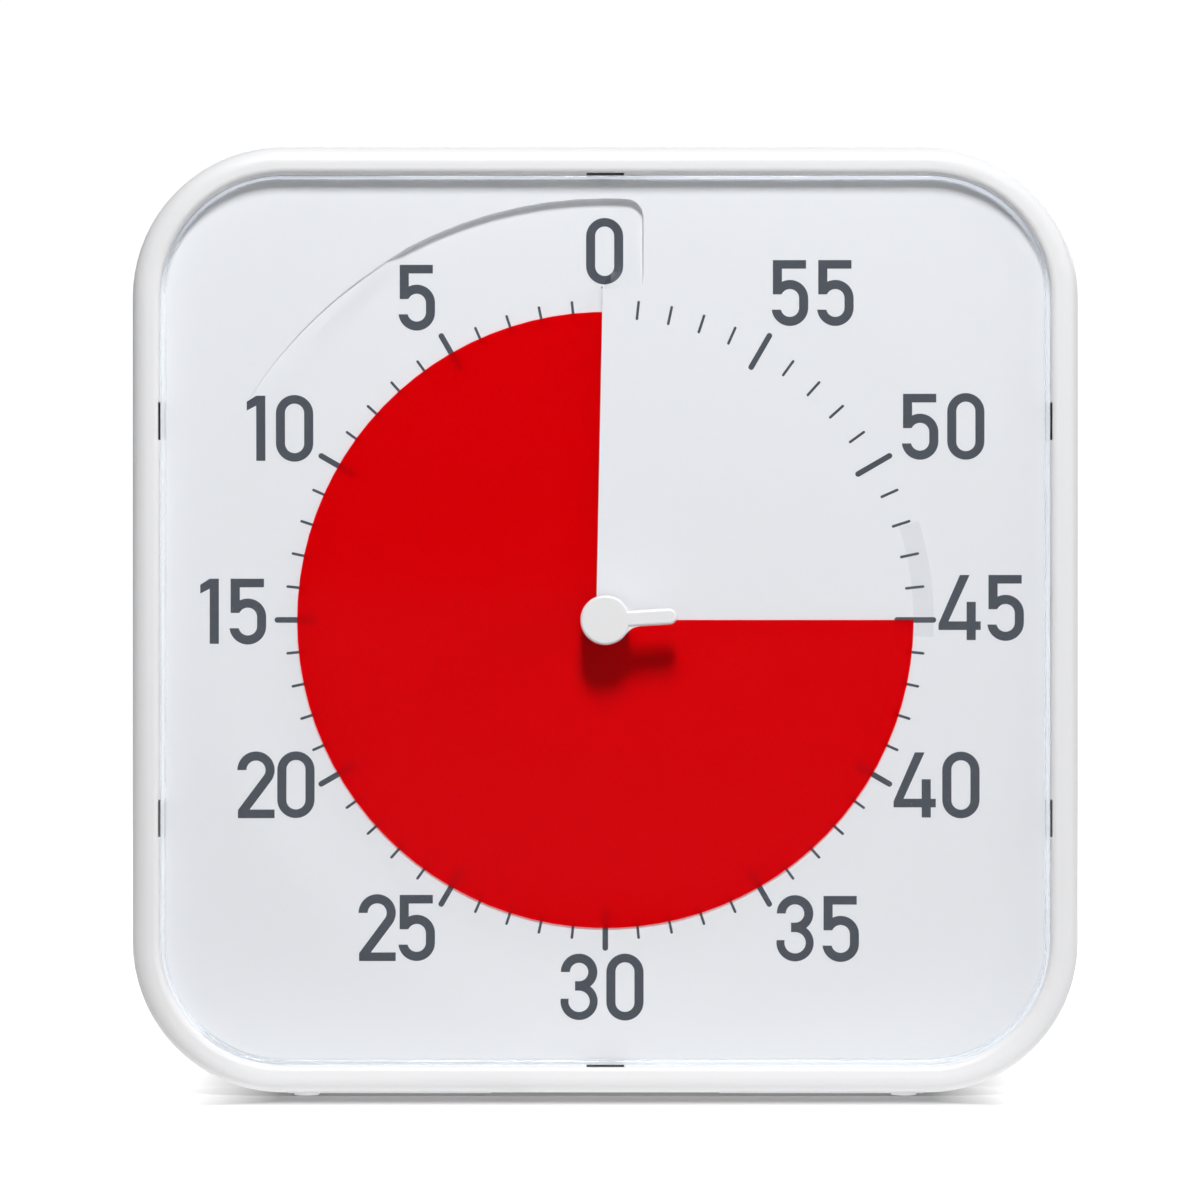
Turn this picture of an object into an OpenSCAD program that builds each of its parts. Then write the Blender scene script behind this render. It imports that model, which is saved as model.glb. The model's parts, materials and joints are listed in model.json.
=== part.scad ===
// Visual countdown timer: a square wall or table timer whose red disc shrinks as time runs out.
// Frame: X to the right, Y to the rear, Z up; the dial faces -Y and the feet stand on Z = 0.
// Inside stand(), x is right, y is up from the middle of the case and depth runs back from the bezel.

/* [Case] */
// Width and height of the square case
case_w = 304.8; // [290:0.1:340]
// Depth of the case from the bezel's face to its back
case_d = 40; // [38:0.5:50]
// Outer corner radius of the case
case_corner_r = 48.5; // [44:0.5:56]
// Width of the bezel's face around the lens
bezel_w = 9; // [8.8:0.1:12]
// Thickness of the side walls
wall_t = 2.5; // [2:0.1:3]
// Thickness of the bezel's face
face_t = 2.4; // [2.2:0.1:2.8]
// Thickness of the lip around the lens
lip_t = 1.4; // [1.2:0.1:1.8]
// Depth from the bezel's face to the parting line with the rear cover
bezel_d = 27; // [25:0.5:29]
// Radius of the bezel's outer front edge
bezel_edge_r = 5.5; // [4:0.1:6]
// Radius of the bezel's inner front edge
lip_edge_r = 2.2; // [1.4:0.1:2.4]
// Thickness of the back
back_t = 2.4; // [2.2:0.1:3]
// Radius of the rear outer edge
back_edge_r = 2; // [1:0.1:2.2]
// Thickness of the tongue that locates the rear cover in the bezel
tongue_t = 1.2; // [1:0.1:1.4]
// Length of that tongue
tongue_l = 2.5; // [2:0.1:3.5]

/* [Lens] */
// Depth of the lens face behind the bezel's face
lens_depth = 2.2; // [2:0.1:2.6]
// Thickness of the lens
lens_t = 1.6; // [1.4:0.1:1.8]
// Depth of the lens's raised rim behind the bezel's face
rim_depth = 0.8; // [0.6:0.1:1]
// Width of that rim
rim_w = 1.6; // [1.4:0.1:2]
// Radius of the lens's hole for the knob stem
lens_hole_r = 5.6; // [5.5:0.1:6.5]
// Length of a snap tab along the rim
tab_l = 12; // [8:0.5:16]
// Thickness of a snap tab
tab_t = 1.4; // [1.2:0.1:1.6]
// Distance of the side tabs from the middle of the side
tab_offset = 64; // [56:1:74]

/* [Dial] */
// Depth of the dial's number zone behind the bezel's face
dial_depth = 5.8; // [5.6:0.1:6.4]
// Thickness of the dial
dial_t = 1.2; // [1:0.1:1.3]
// Radius of the dial's centre hole
dial_hole_r = 7; // [6.8:0.1:7.4]
// Width of the flat margin between the sunk zone and the dial's edge
recess_margin = 8.6; // [6:0.2:12]
// Distance of the sunk zone's straight wall to the right of the slit
recess_x = 12.4; // [9:0.1:14]
// Corner radius of the sunk zone
recess_corner_r = 5.5; // [4:0.1:7]
// Width of the sunk zone's sloping wall
draft_w = 0.5; // [0.4:0.1:1]
// Thickness of the dial behind that wall
recess_wall = 1.2; // [1:0.1:1.6]
// Slit edge to the left of the centre line, at the hub
slit_in = 2.9; // [2.4:0.1:3.2]
// Slit edge to the left of the centre line, at the disc's rim
slit_out = 1; // [0.8:0.1:1.6]
// Length over which the dial rises again beyond the slit
slit_run = 1.1; // [0.9:0.1:1.6]

/* [Disc] */
// Radius of the red disc
disc_r = 99.5; // [92:0.1:101]
// Thickness of the disc's film
film_t = 0.25; // [0.2:0.01:0.3]
// Clearance between the film and the dial
film_gap = 0.3; // [0.3:0.01:0.4]
// Extra room for the film in the slit
slit_extra = 0.25; // [0.2:0.01:0.4]
// Width of the clear guide tab on the disc's leading edge
guide_w = 6.5; // [5:0.1:7]
// Angle by which the guide tab leads the disc
guide_lead = 17.5; // [12:0.5:20]
// Angle of the guide tab along the disc's rim
guide_tail = 3; // [2:0.5:5]
// Minutes that the disc shows
minutes = 45; // [10:1:55]

/* [Knob] */
// Radius of the knob's cap
knob_r = 8; // [7.8:0.1:9]
// Distance of the knob's front from the bezel's face
knob_proud = 8; // [6:0.1:10]
// Distance of the pointer's tip from the knob's axis
pointer_l = 23; // [18:0.5:28]
// Width of the pointer
pointer_w = 5.2; // [4:0.1:6]
// Thickness of the pointer
pointer_t = 3.6; // [3:0.1:4.2]
// Radius of the fillets between pointer and cap
pointer_fillet_r = 6; // [4:0.1:8]
// Radius of the knob's front edge
knob_edge_r = 1; // [0.5:0.1:1.4]
// Angle by which the pointer leads the disc's edge
pointer_lead = 3.2; // [0:0.1:5]
// Gap between the knob and the lens
knob_gap = 0.6; // [0.4:0.1:0.8]
// Radius of the knob's stem
stem_r = 4.8; // [4.5:0.1:5.2]

/* [Arbor] */
// Radius of the arbor
arbor_r = 2.5; // [2.3:0.05:2.6]
// Distance of the arbor's flat from its axis
arbor_flat = 1.9; // [1.7:0.05:2.1]
// Radius of the arbor's rear pivot
pivot_r = 1.4; // [1.2:0.05:1.6]
// Radius of the disc hub's sleeve
sleeve_r = 3.5; // [3.4:0.05:3.7]
// Radius of the disc hub's spiral flange
flange_r = 6.3; // [5.8:0.1:6.4]
// Thickness of the spiral flange
flange_t = 1.2; // [0.8:0.1:1.3]

/* [Movement] */
// Width and height of the movement's housing
movement_w = 62; // [61:0.5:66]
// Depth of the movement's front behind the bezel's face
movement_depth = 16; // [15.8:0.1:16.5]
// Depth of the movement's housing
movement_d = 17; // [17:0.1:17.5]
// Wall thickness of the movement's housing
movement_wall = 1.5; // [1.2:0.1:1.7]
// Corner radius of the movement's housing
movement_corner_r = 4; // [3:0.5:6]
// Depth of the front half of the housing
movement_split = 10; // [9.5:0.1:10.5]
// Radius of the bearing nose around the arbor
nose_r = 4.5; // [4:0.1:6]
// Length of the bearing nose
nose_l = 1; // [0.8:0.1:1.1]
// Radius of the movement's mounting ears
ear_r = 4; // [3.8:0.1:5]
// Thickness of the mounting ears
ear_t = 2; // [1.6:0.1:2.4]
// Length of a movement screw's shank
movement_screw_l = 7; // [6:0.5:8]

/* [Wheels] */
// Teeth of the centre wheel
centre_teeth = 64; // [60:1:64]
// Module of the centre wheel and its pinion
centre_m = 0.5; // [0.48:0.01:0.52]
// Teeth of the third wheel
third_teeth = 60; // [56:1:60]
// Module of the third wheel and its pinion
third_m = 0.4; // [0.38:0.01:0.41]
// Leaves of each pinion
leaves = 8; // [8:1:10]
// Teeth of the seconds wheel
seconds_teeth = 60; // [56:1:60]
// Module of the seconds wheel
seconds_m = 0.25; // [0.23:0.01:0.26]
// Thickness of a wheel
wheel_t = 1; // [0.8:0.1:1.1]
// Radius of the axle posts
post_r = 0.7; // [0.6:0.05:0.8]
// Direction of the third wheel's axis from the arbor
third_angle = 150; // [146:1:154]
// Direction of the seconds wheel's axis from the third wheel's
seconds_angle = 60; // [56:1:64]

/* [Motor and electronics] */
// Radius of the rotor's magnet
rotor_r = 3; // [2.6:0.1:3.2]
// Length of the rotor's magnet
rotor_l = 2.2; // [1.8:0.1:2.4]
// Length of the coil
coil_l = 20; // [16:0.5:22]
// Radius of the coil's winding
coil_r = 3.2; // [2.8:0.1:3.4]
// Thickness of the stator
stator_t = 0.8; // [0.6:0.1:1]
// Width of the circuit board
board_w = 46; // [40:1:50]
// Height of the circuit board
board_h = 18; // [14:1:19]
// Thickness of the circuit board
board_t = 1; // [0.8:0.1:1.2]
// Radius of the buzzer
buzzer_r = 12; // [10:0.5:14]
// Height of the buzzer
buzzer_h = 5; // [4:0.5:7]
// Distance of the buzzer to the right of the middle
buzzer_x = 66; // [62:1:80]

/* [Battery] */
// Diameter of the cell
cell_dia = 14.5; // [13.5:0.1:14.5]
// Length of the cell without its button
cell_l = 49.2; // [44:0.1:50]
// Length of the battery bay
bay_l = 58; // [57.6:0.1:62]
// Height of the battery bay
bay_h = 16; // [15.6:0.1:18]
// Wall thickness of the bay
bay_wall = 1.6; // [1.4:0.1:2]
// Distance of the bay's middle below the arbor
bay_drop = 76; // [70:1:86]
// Ledge around the bay that the door covers
door_ledge = 2.2; // [2:0.1:2.6]
// Thickness of the battery door
door_t = 1.9; // [1.6:0.1:2]
// Radius of the door's hinge pins
hinge_r = 0.6; // [0.5:0.05:0.7]
// Length of the door's hinge pins
hinge_l = 1.6; // [1.2:0.1:2.4]

/* [Switch] */
// Distance of the switch to the left of the middle
switch_x = 62; // [58:1:80]
// Travel of the slider
switch_travel = 3.4; // [3:0.1:3.6]
// Width of the slider's grip
slider_w = 4.6; // [4:0.1:5]
// Height of the slider's grip
slider_h = 3.4; // [3:0.1:4]
// Distance of the grip from the case's back
slider_proud = 0.8; // [0.5:0.1:1.2]

/* [Feet] */
// Distance of a foot from the middle of the case
foot_x = 96.5; // [86:0.5:97]
// Depth of a foot's pivot behind the bezel's face
foot_depth = 9; // [8.8:0.1:10]
// Distance from a foot's pivot to the middle of its rounded tail
foot_l = 54; // [48:0.5:58]
// Width of a foot
foot_w = 8; // [7.4:0.1:8]
// Thickness of a foot
foot_t = 3.2; // [3:0.1:3.4]
// Height by which the feet lift the case
foot_proud = 1; // [0.8:0.1:1.2]
// Radius of a foot's pivot pin
foot_pin_r = 2; // [1.6:0.05:2.2]

/* [Wall and board mounting] */
// Radius of the keyhole's entry hole
keyhole_r = 4.5; // [4.2:0.1:5]
// Width of the keyhole's slot
keyhole_slot_w = 4.4; // [4:0.1:4.8]
// Length of the keyhole's slot above the entry hole
keyhole_slot_l = 9; // [8:0.5:12]
// Height of the keyhole above the arbor
keyhole_up = 96; // [88:1:104]
// Radius of a magnet
magnet_r = 9; // [8:0.5:11]
// Thickness of a magnet
magnet_t = 3; // [2:0.5:4]
// Distance of the magnets from the middle, along each side
magnet_xy = 110; // [104:1:112]

/* [Fasteners] */
// Distance of the case screws from the outer sides
screw_inset = 4.6; // [4.5:0.1:4.8]
// Radius of a screw's head
screw_head_r = 2.2; // [2:0.1:2.3]
// Radius of a screw's shank
screw_shank_r = 1.15; // [1:0.05:1.2]
// Height of a screw's head
screw_head_t = 1.8; // [1.4:0.1:2]
// Length of a case screw's shank
screw_l = 12; // [8:0.5:14]

/* [Clearances] */
// Gap between parts of one body that only locate each other
fit_gap = 0.25; // [0.2:0.05:0.3]
// Radial clearance of a running fit
run_gap = 0.05; // [0.04:0.01:0.08]
// Gap between parts that move past each other
move_gap = 0.3; // [0.3:0.05:0.4]

/* [Hidden] */
$fn = 64;

// Case
half_w = case_w / 2;
opening_w = case_w - 2 * bezel_w;
opening_r = case_corner_r - bezel_w;
cover_d = case_d - back_t;
screw_row = half_w - screw_inset;
boss_r = 2.7;
cover_boss_r = 3.6;
screw_side_y = 88;
screw_top_x = 60;
screw_bottom_x = 18;
case_screw_at = [
    [screw_row, screw_side_y], [screw_row, -screw_side_y],
    [-screw_row, screw_side_y], [-screw_row, -screw_side_y],
    [screw_top_x, screw_row], [-screw_top_x, screw_row],
    [screw_bottom_x, -screw_row], [-screw_bottom_x, -screw_row]
];
rib_at = 40;
rib_t = 1.8;

// Lens
lens_w = opening_w - 2 * fit_gap;
lens_r = opening_r - fit_gap;
tab_out = 0.8;
tab_back = dial_depth - 1;
tab_hold = 0.2;

// Disc and dial: the film is one turn of a screw surface, so that it can wind through the slit
dial_w = opening_w + 2 * lip_t - 0.4;
dial_corner_r = opening_r + lip_t - 0.2;
recess_r = dial_w / 2 - recess_margin;
recess_fade = 14;
pitch = dial_t + film_t + 2 * film_gap + slit_extra;
film_front = dial_depth - film_t - film_gap;
lead = 360 - 6 * minutes;
guide_r = disc_r + guide_w;
slit_r = guide_r + 0.8;
slit_end = slit_r + slit_run;
film_in = sleeve_r + run_gap;
film_steps = 90;

// Knob and arbor
knob_back = lens_depth - knob_gap;
stem_back = film_front - 1;
flat_front = stem_back;
hub_front = film_front + pitch * lead / 360 - 0.6;
hub_back = film_front + pitch * (lead + 360) / 360 + film_t + flange_t;
flat_back = movement_depth - nose_l;
wheel_depth = movement_depth + movement_wall + 1;
arbor_step = movement_depth + movement_split + 1;
arbor_back = movement_depth + movement_d - movement_wall - 0.4;

// Wheel train
mesh_gap = 0.1;
third_m_depth = wheel_depth + wheel_t + 1.2;
seconds_depth = third_m_depth + wheel_t + 1.2;
third_dist = centre_m * (centre_teeth + leaves) / 2 + mesh_gap;
third_at = third_dist * [cos(third_angle), sin(third_angle)];
seconds_dist = third_m * (third_teeth + leaves) / 2 + mesh_gap;
seconds_at = third_at + seconds_dist * [cos(seconds_angle), sin(seconds_angle)];
seconds_tip_r = seconds_m * (seconds_teeth / 2 + 1);
rotor_pinion_r = 1.4;
rotor_at = seconds_at + [seconds_tip_r + rotor_pinion_r + move_gap, 0];
rotor_depth = seconds_depth + wheel_t + 0.6;
stator_depth = rotor_depth + (rotor_l - stator_t) / 2;
stator_leg = 2.4;
stator_ring = 3.2;
stator_post_r = 1.2;
coil_right = movement_w / 2 - movement_wall - 0.4 - stator_leg;
coil_left = coil_right - coil_l;
coil_drop = 9.5;
coil_y = rotor_at[1] - coil_drop;
core_r = 1.6;
cheek_t = 1;
stator_posts = [rotor_at + [8.5, 0], [coil_right + stator_leg / 2, rotor_at[1]]];
ear_at = movement_w / 2 + ear_r;
ear_up = movement_w / 2 - 8;
ear_depth = movement_depth + movement_split;
board_at = [0, -movement_w / 2 + movement_wall + 0.4 + board_h / 2];
board_depth = movement_depth + movement_split + 1.6;

// Battery
bay_at = [0, -bay_drop];
cell_depth = cover_d - cell_dia / 2 - 0.6;
bay_depth = cell_depth - cell_dia / 2 - 0.6 - bay_wall;
door_w = bay_l + 2 * door_ledge;
door_h = bay_h + 2 * door_ledge;
hinge_depth = case_d - door_t / 2 - 0.25;
button_l = 1.4;
button_r = 2.6;
contact_t = 0.4;

// Switch
switch_at = [-switch_x, -bay_drop];
switch_body_w = 14;
switch_body_h = 7;
switch_body_d = 5;

// Feet and whole part
pocket_depth = foot_t - foot_proud + move_gap;
pan_h = pocket_depth + 1.8;
pan_wall = 1.6;
pin_boss_r = 4.2;
pin_boss_h = bezel_w - lip_t - 0.6;
foot_tail = foot_depth + foot_l + foot_w / 2;
rear_reach = max(case_d, foot_tail);
face_y = (knob_proud - rear_reach) / 2;
mid_z = foot_proud + half_w;

// ---------- Placing and drawing helpers ----------

// Stands a shape drawn face-up on the plan upright, with the dial to the front
module stand() translate([0, face_y, mid_z]) rotate([90, 0, 0]) children();

// A flat outline as a slab whose front lies at a depth behind the bezel's face
module slab(depth, t) translate([0, 0, -depth - t]) linear_extrude(t) children();

// A round bar along the depth
module bar(at, depth, l, r) translate([at[0], at[1], 0]) slab(depth, l) circle(r);

module rounded_square(w, r) {
    square([w, w - 2 * r], center = true);
    square([w - 2 * r, w], center = true);
    for (x = [-1, 1], y = [-1, 1]) translate([x, y] * (w / 2 - r)) circle(r);
}

// Runs a section round a rounded square; the section's x is counted from the corner's axis
module frame_sweep(w, r) {
    side = w - 2 * r;
    for (a = [0:90:270]) rotate(a) translate([side / 2, side / 2, 0]) {
        rotate_extrude(angle = 90) children();
        rotate([90, 0, 0]) linear_extrude(side) children();
    }
}

// What a rounding takes from a top left corner at the origin of a section
module corner_cut(r) difference() {
    translate([-1, -r]) square(r + 1);
    translate([r, -r]) circle(r);
}

// One copy at each foot's pivot, with x running inwards
module at_feet(sides = [-1, 1]) for (s = sides)
    translate([s * foot_x, face_y + foot_depth, foot_proud]) mirror([s > 0 ? 1 : 0, 0, 0]) children();

// The ground that a foot sweeps over, as a flat outline about its pivot
module foot_sweep(grow) {
    reach = foot_l + foot_w / 2 + move_gap + grow;
    edge = foot_w / 2 + move_gap + grow;
    intersection() {
        circle(reach);
        translate([-edge, -edge]) square(reach + edge);
    }
}

// Everything between two depths
module depth_band(from, to) translate([-half_w, face_y + from, 0]) cube([case_w, to - from, case_w]);

// ---------- Case ----------

module bezel_section() {
    inner = opening_r;
    difference() {
        translate([inner, -bezel_d]) square([bezel_w, bezel_d]);
        translate([inner + lip_t, -bezel_d - 1]) square([bezel_w - lip_t - wall_t, bezel_d - face_t + 1]);
        translate([inner - 1, -bezel_d - 1]) square([lip_t + 2, bezel_d - dial_depth + 1]);
        translate([inner, 0]) corner_cut(lip_edge_r);
        translate([case_corner_r, 0]) mirror([1, 0]) corner_cut(bezel_edge_r);
    }
}

// One copy at each snap tab, with x along the side and y outwards from the opening's edge
module at_tabs() for (tab = [[0, 0], [180, 0], [90, 1], [90, -1], [270, 1], [270, -1]])
    rotate(tab[0]) translate([tab[1] * tab_offset, opening_w / 2]) children();

module front_bezel() color("white") difference() {
    union() {
        stand() {
            frame_sweep(case_w, case_corner_r) bezel_section();
            for (p = case_screw_at) bar(p, face_t - 0.5, bezel_d - face_t + 0.5, boss_r);
        }
        intersection() {
            at_feet() linear_extrude(pan_h) foot_sweep(pan_wall);
            depth_band(face_t - 0.5, bezel_d);
        }
        at_feet() cylinder(h = pin_boss_h, r = pin_boss_r);
    }
    at_feet() translate([0, 0, -1]) linear_extrude(pocket_depth + 1) foot_sweep(0);
    at_feet() cylinder(h = pin_boss_h - 1, r = foot_pin_r);
    stand() {
        for (p = case_screw_at) bar(p, bezel_d - screw_l + 2, screw_l, screw_shank_r);
        at_tabs() {
            notch_l = tab_l + 2 * fit_gap;
            slab(-1, dial_depth) translate([-notch_l / 2, -1]) square([notch_l, 1 + tab_out - tab_hold]);
            slab(tab_back - tab_t - fit_gap, tab_t + fit_gap + dial_depth - tab_back)
                translate([-notch_l / 2, -1]) square([notch_l, lip_t + 2]);
        }
    }
}

module lens_section() difference() {
    translate([lens_r - rim_w, -dial_depth]) square([rim_w, dial_depth - rim_depth]);
    translate([lens_r - rim_w, -rim_depth]) corner_cut(rim_w / 2 - 0.1);
    translate([lens_r, -rim_depth]) mirror([1, 0]) corner_cut(rim_w / 2 - 0.1);
}

module lens() color("lightblue", 0.35) stand() {
    frame_sweep(lens_w, lens_r) lens_section();
    slab(lens_depth, lens_t) difference() {
        rounded_square(lens_w - 2 * rim_w + 0.2, lens_r - rim_w + 0.1);
        circle(lens_hole_r);
    }
    at_tabs() slab(tab_back - tab_t, tab_t)
        translate([-tab_l / 2, -fit_gap - 0.5]) square([tab_l, fit_gap + 0.5 + tab_out]);
}

module cover_section() difference() {
    union() {
        translate([case_corner_r - wall_t, -case_d]) square([wall_t, case_d - bezel_d]);
        translate([case_corner_r - wall_t - fit_gap - tongue_t, -bezel_d - 2]) square([tongue_t, tongue_l + 2]);
        translate([case_corner_r - wall_t - fit_gap - tongue_t, -bezel_d - 2]) square([tongue_t + fit_gap + 0.5, 2]);
    }
    translate([case_corner_r, -case_d]) rotate(180) corner_cut(back_edge_r);
}

module bay_outline(grow) translate(bay_at) square([bay_l, bay_h] + 2 * [grow, grow], center = true);

module door_outline(gap) translate(bay_at) square([door_w, door_h] + 2 * [gap, gap], center = true);

module keyhole() translate([0, keyhole_up]) {
    circle(keyhole_r);
    translate([-keyhole_slot_w / 2, 0]) square([keyhole_slot_w, keyhole_slot_l]);
    translate([0, keyhole_slot_l]) circle(keyhole_slot_w / 2);
}

module at_ribs() for (a = [0:90:270], s = [-1, 1]) rotate(a)
    translate([s * rib_at, half_w - bezel_w]) children();

magnet_at = [for (x = [-1, 1], y = [-1, 1]) [x, y] * magnet_xy];
ear_points = [for (x = [-1, 1], y = [-1, 1]) [x * ear_at, y * ear_up]];
buzzer_at = [buzzer_x, -bay_drop];

module rear_cover() color("whitesmoke") difference() {
    union() {
        stand() {
            frame_sweep(case_w, case_corner_r) cover_section();
            slab(cover_d, back_t) rounded_square(case_w - 2 * wall_t + 0.4, case_corner_r - wall_t + 0.2);
            for (p = case_screw_at) bar(p, bezel_d, case_d - bezel_d - 0.5, cover_boss_r);
            at_ribs() slab(dial_depth + dial_t, cover_d - dial_depth - dial_t + 0.5)
                translate([-rib_t / 2, -9]) square([rib_t, 11]);
            slab(bay_depth, cover_d - bay_depth) bay_outline(bay_wall);
            slab(cover_d - bay_wall, bay_wall + 0.5) bay_outline(door_ledge + bay_wall);
            for (p = magnet_at) bar(p, case_d - magnet_t - 2, magnet_t + 1.5, magnet_r + 1.8);
            for (p = ear_points) bar(p, ear_depth + ear_t, cover_d - ear_depth - ear_t + 0.5, ear_r - 0.6);
            difference() {
                bar(buzzer_at, cover_d - 3, 3.5, buzzer_r + 1.6);
                bar(buzzer_at, cover_d - 4, 4, buzzer_r);
            }
            for (s = [-1, 1]) bar(switch_at + [s * (switch_body_w / 2 + 1.6), 0],
                cover_d - switch_body_d, switch_body_d + 0.5, 1.6);
        }
        intersection() {
            at_feet() linear_extrude(pan_h) foot_sweep(pan_wall);
            depth_band(bezel_d, case_d - 0.5);
        }
    }
    at_feet() translate([0, 0, -1]) linear_extrude(pocket_depth + 1) foot_sweep(0);
    intersection() {
        at_feet() translate([0, 0, -1]) linear_extrude(pan_h + fit_gap + 1) foot_sweep(pan_wall + fit_gap);
        depth_band(0, bezel_d);
    }
    stand() {
        for (p = case_screw_at) {
            bar(p, bezel_d - tongue_l - 1, tongue_l + 1, boss_r + fit_gap);
            bar(p, bezel_d - 1, case_d, screw_shank_r + 0.2);
            bar(p, bezel_d + 3, case_d, screw_head_r + 0.2);
        }
        slab(bay_depth + bay_wall, case_d) bay_outline(0);
        slab(cover_d, case_d) door_outline(move_gap);
        for (s = [-1, 1]) hinge_bar(s, hinge_l + 0.3, hinge_r + run_gap);
        slab(cover_d, case_d) translate(bay_at + [0, door_h / 2 + 0.5]) square([12, 3], center = true);
        for (p = magnet_at) bar(p, case_d - magnet_t - 0.2, case_d, magnet_r + 0.1);
        slab(cover_d - 1, case_d) keyhole();
        for (p = ear_points) bar(p, ear_depth, movement_screw_l + 0.5, screw_shank_r);
        for (a = [0:60:300]) bar(buzzer_at + 4.5 * [cos(a), sin(a)], cover_d - 1, case_d, 0.9);
        bar(buzzer_at, cover_d - 1, case_d, 0.9);
        slab(cover_d - 1, case_d) translate(switch_at)
            square([slider_w + switch_travel, slider_h] + 2 * [move_gap, move_gap], center = true);
    }
}

module screw(depth, l) {
    bar([0, 0], depth - l, l, screw_shank_r);
    difference() {
        bar([0, 0], depth, screw_head_t, screw_head_r);
        slab(depth + screw_head_t / 2, screw_head_t)
            for (a = [0, 90]) rotate(a) square([1.2 * screw_head_r, screw_head_t / 3], center = true);
    }
}

module case_screws() color("silver") stand()
    for (p = case_screw_at) translate([p[0], p[1], 0]) screw(bezel_d + 3, screw_l);

// ---------- Dial and disc ----------

function smooth(t) = let (c = min(1, max(0, t))) c * c * (3 - 2 * c);
function mix(a, b, t) = a + (b - a) * t;

// Where the dial's upper lip ends, left of the centre line
function lip_x(r) = -mix(slit_in, slit_out, (r - film_in) / (disc_r - film_in));

// How far the lower edge of the slit reaches beyond the lip
function slit_lap(r) = r < slit_r + 0.1 ? mix(slit_in + 1, 0.6, (r - dial_hole_r) / (slit_r - dial_hole_r))
    : r < slit_end - 0.1 ? -0.4 : 0;

// How far the dial lies below its number zone at an angle clockwise from the top; the sunk zone may be grown
function drop(angle, r, grow) =
    let (
        base = pitch * angle / 360,
        fade = smooth((angle - 298) / 35),
        from = mix(slit_r, recess_r + grow - draft_w, fade),
        to = mix(recess_r - 2, recess_r + grow, fade),
        x = r * sin(angle),
        a = recess_r + grow - r,
        b = recess_x + grow / 2 - x,
        c = recess_corner_r + grow / 2,
        wall = a < c && b < c ? c - norm([c - a, c - b]) : min(a, b),
        ramp = mix(slit_run, recess_fade, max(0, x) / recess_x),
        beside = angle < 20 ? pitch * smooth(wall / draft_w) * smooth((r - slit_r) / ramp) : 0
    )
    max(base * (1 - smooth((r - from) / (to - from))), beside);

// Radius of a line along the sunk zone's outer wall at a distance x to the right, `inset` inside the wall's top
function wall_r(x, inset) =
    let (b = recess_x - x, c = recess_corner_r, s = c - inset)
    b >= c ? recess_r - inset
    : b <= inset ? recess_r - c - inset / 2
    : recess_r - c + sqrt(s * s - (c - b) * (c - b));

// Radius of the dial's outline at an angle
function outline_r(angle) =
    let (
        u = max(abs(sin(angle)), abs(cos(angle))),
        v = min(abs(sin(angle)), abs(cos(angle))),
        h = dial_w / 2,
        c = h - dial_corner_r,
        along = c * (u + v)
    )
    h * v / u <= c ? h / u : along + sqrt(along * along - 2 * c * c + dial_corner_r * dial_corner_r);

// A sheet on a grid of rings and columns, closed all round; from ring `merge` outwards it is a whole ring
module sheet(front, back, rings, cols, merge) {
    n = rings * cols;
    function id(k, j) = k * cols + (j == cols - 1 && k >= merge ? 0 : j);
    function quad(a, b, c, d) = [[a, b, c], [a, c, d]];
    function cell(k, j) = [id(k, j), id(k, j + 1), id(k + 1, j + 1), id(k + 1, j)];
    last = cols - 2;
    polyhedron(
        points = concat(front, back),
        faces = [
            for (k = [0:rings - 2], j = [0:last]) let (q = cell(k, j)) each quad(q[0], q[3], q[2], q[1]),
            for (k = [0:rings - 2], j = [0:last]) let (q = cell(k, j)) each quad(q[0] + n, q[1] + n, q[2] + n, q[3] + n),
            for (j = [0:last]) let (q = cell(0, j)) each quad(q[0], q[1], q[1] + n, q[0] + n),
            for (j = [0:last]) let (q = cell(rings - 2, j)) each quad(q[2], q[3], q[3] + n, q[2] + n),
            for (k = [0:min(rings - 1, merge) - 1]) let (q = cell(k, 0)) each quad(q[3], q[0], q[0] + n, q[3] + n),
            for (k = [0:min(rings - 1, merge) - 1]) let (q = cell(k, last)) each quad(q[1], q[2], q[2] + n, q[1] + n)
        ]
    );
}

function polar(r, angle, depth) = [r * sin(angle), r * cos(angle), -depth];

// A strip of the film's screw surface between two radii and two angles
module film_strip(r_in, r_out, from, to, extra_depth, t, steps) {
    angles = [for (i = [0:steps]) from + (to - from) * i / steps];
    front = [for (r = [r_in, r_out], a = angles) polar(r, a, film_front + pitch * a / 360 + extra_depth)];
    sheet(front, [for (p = front) p - [0, 0, t]], 2, steps + 1, 2);
}

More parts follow.
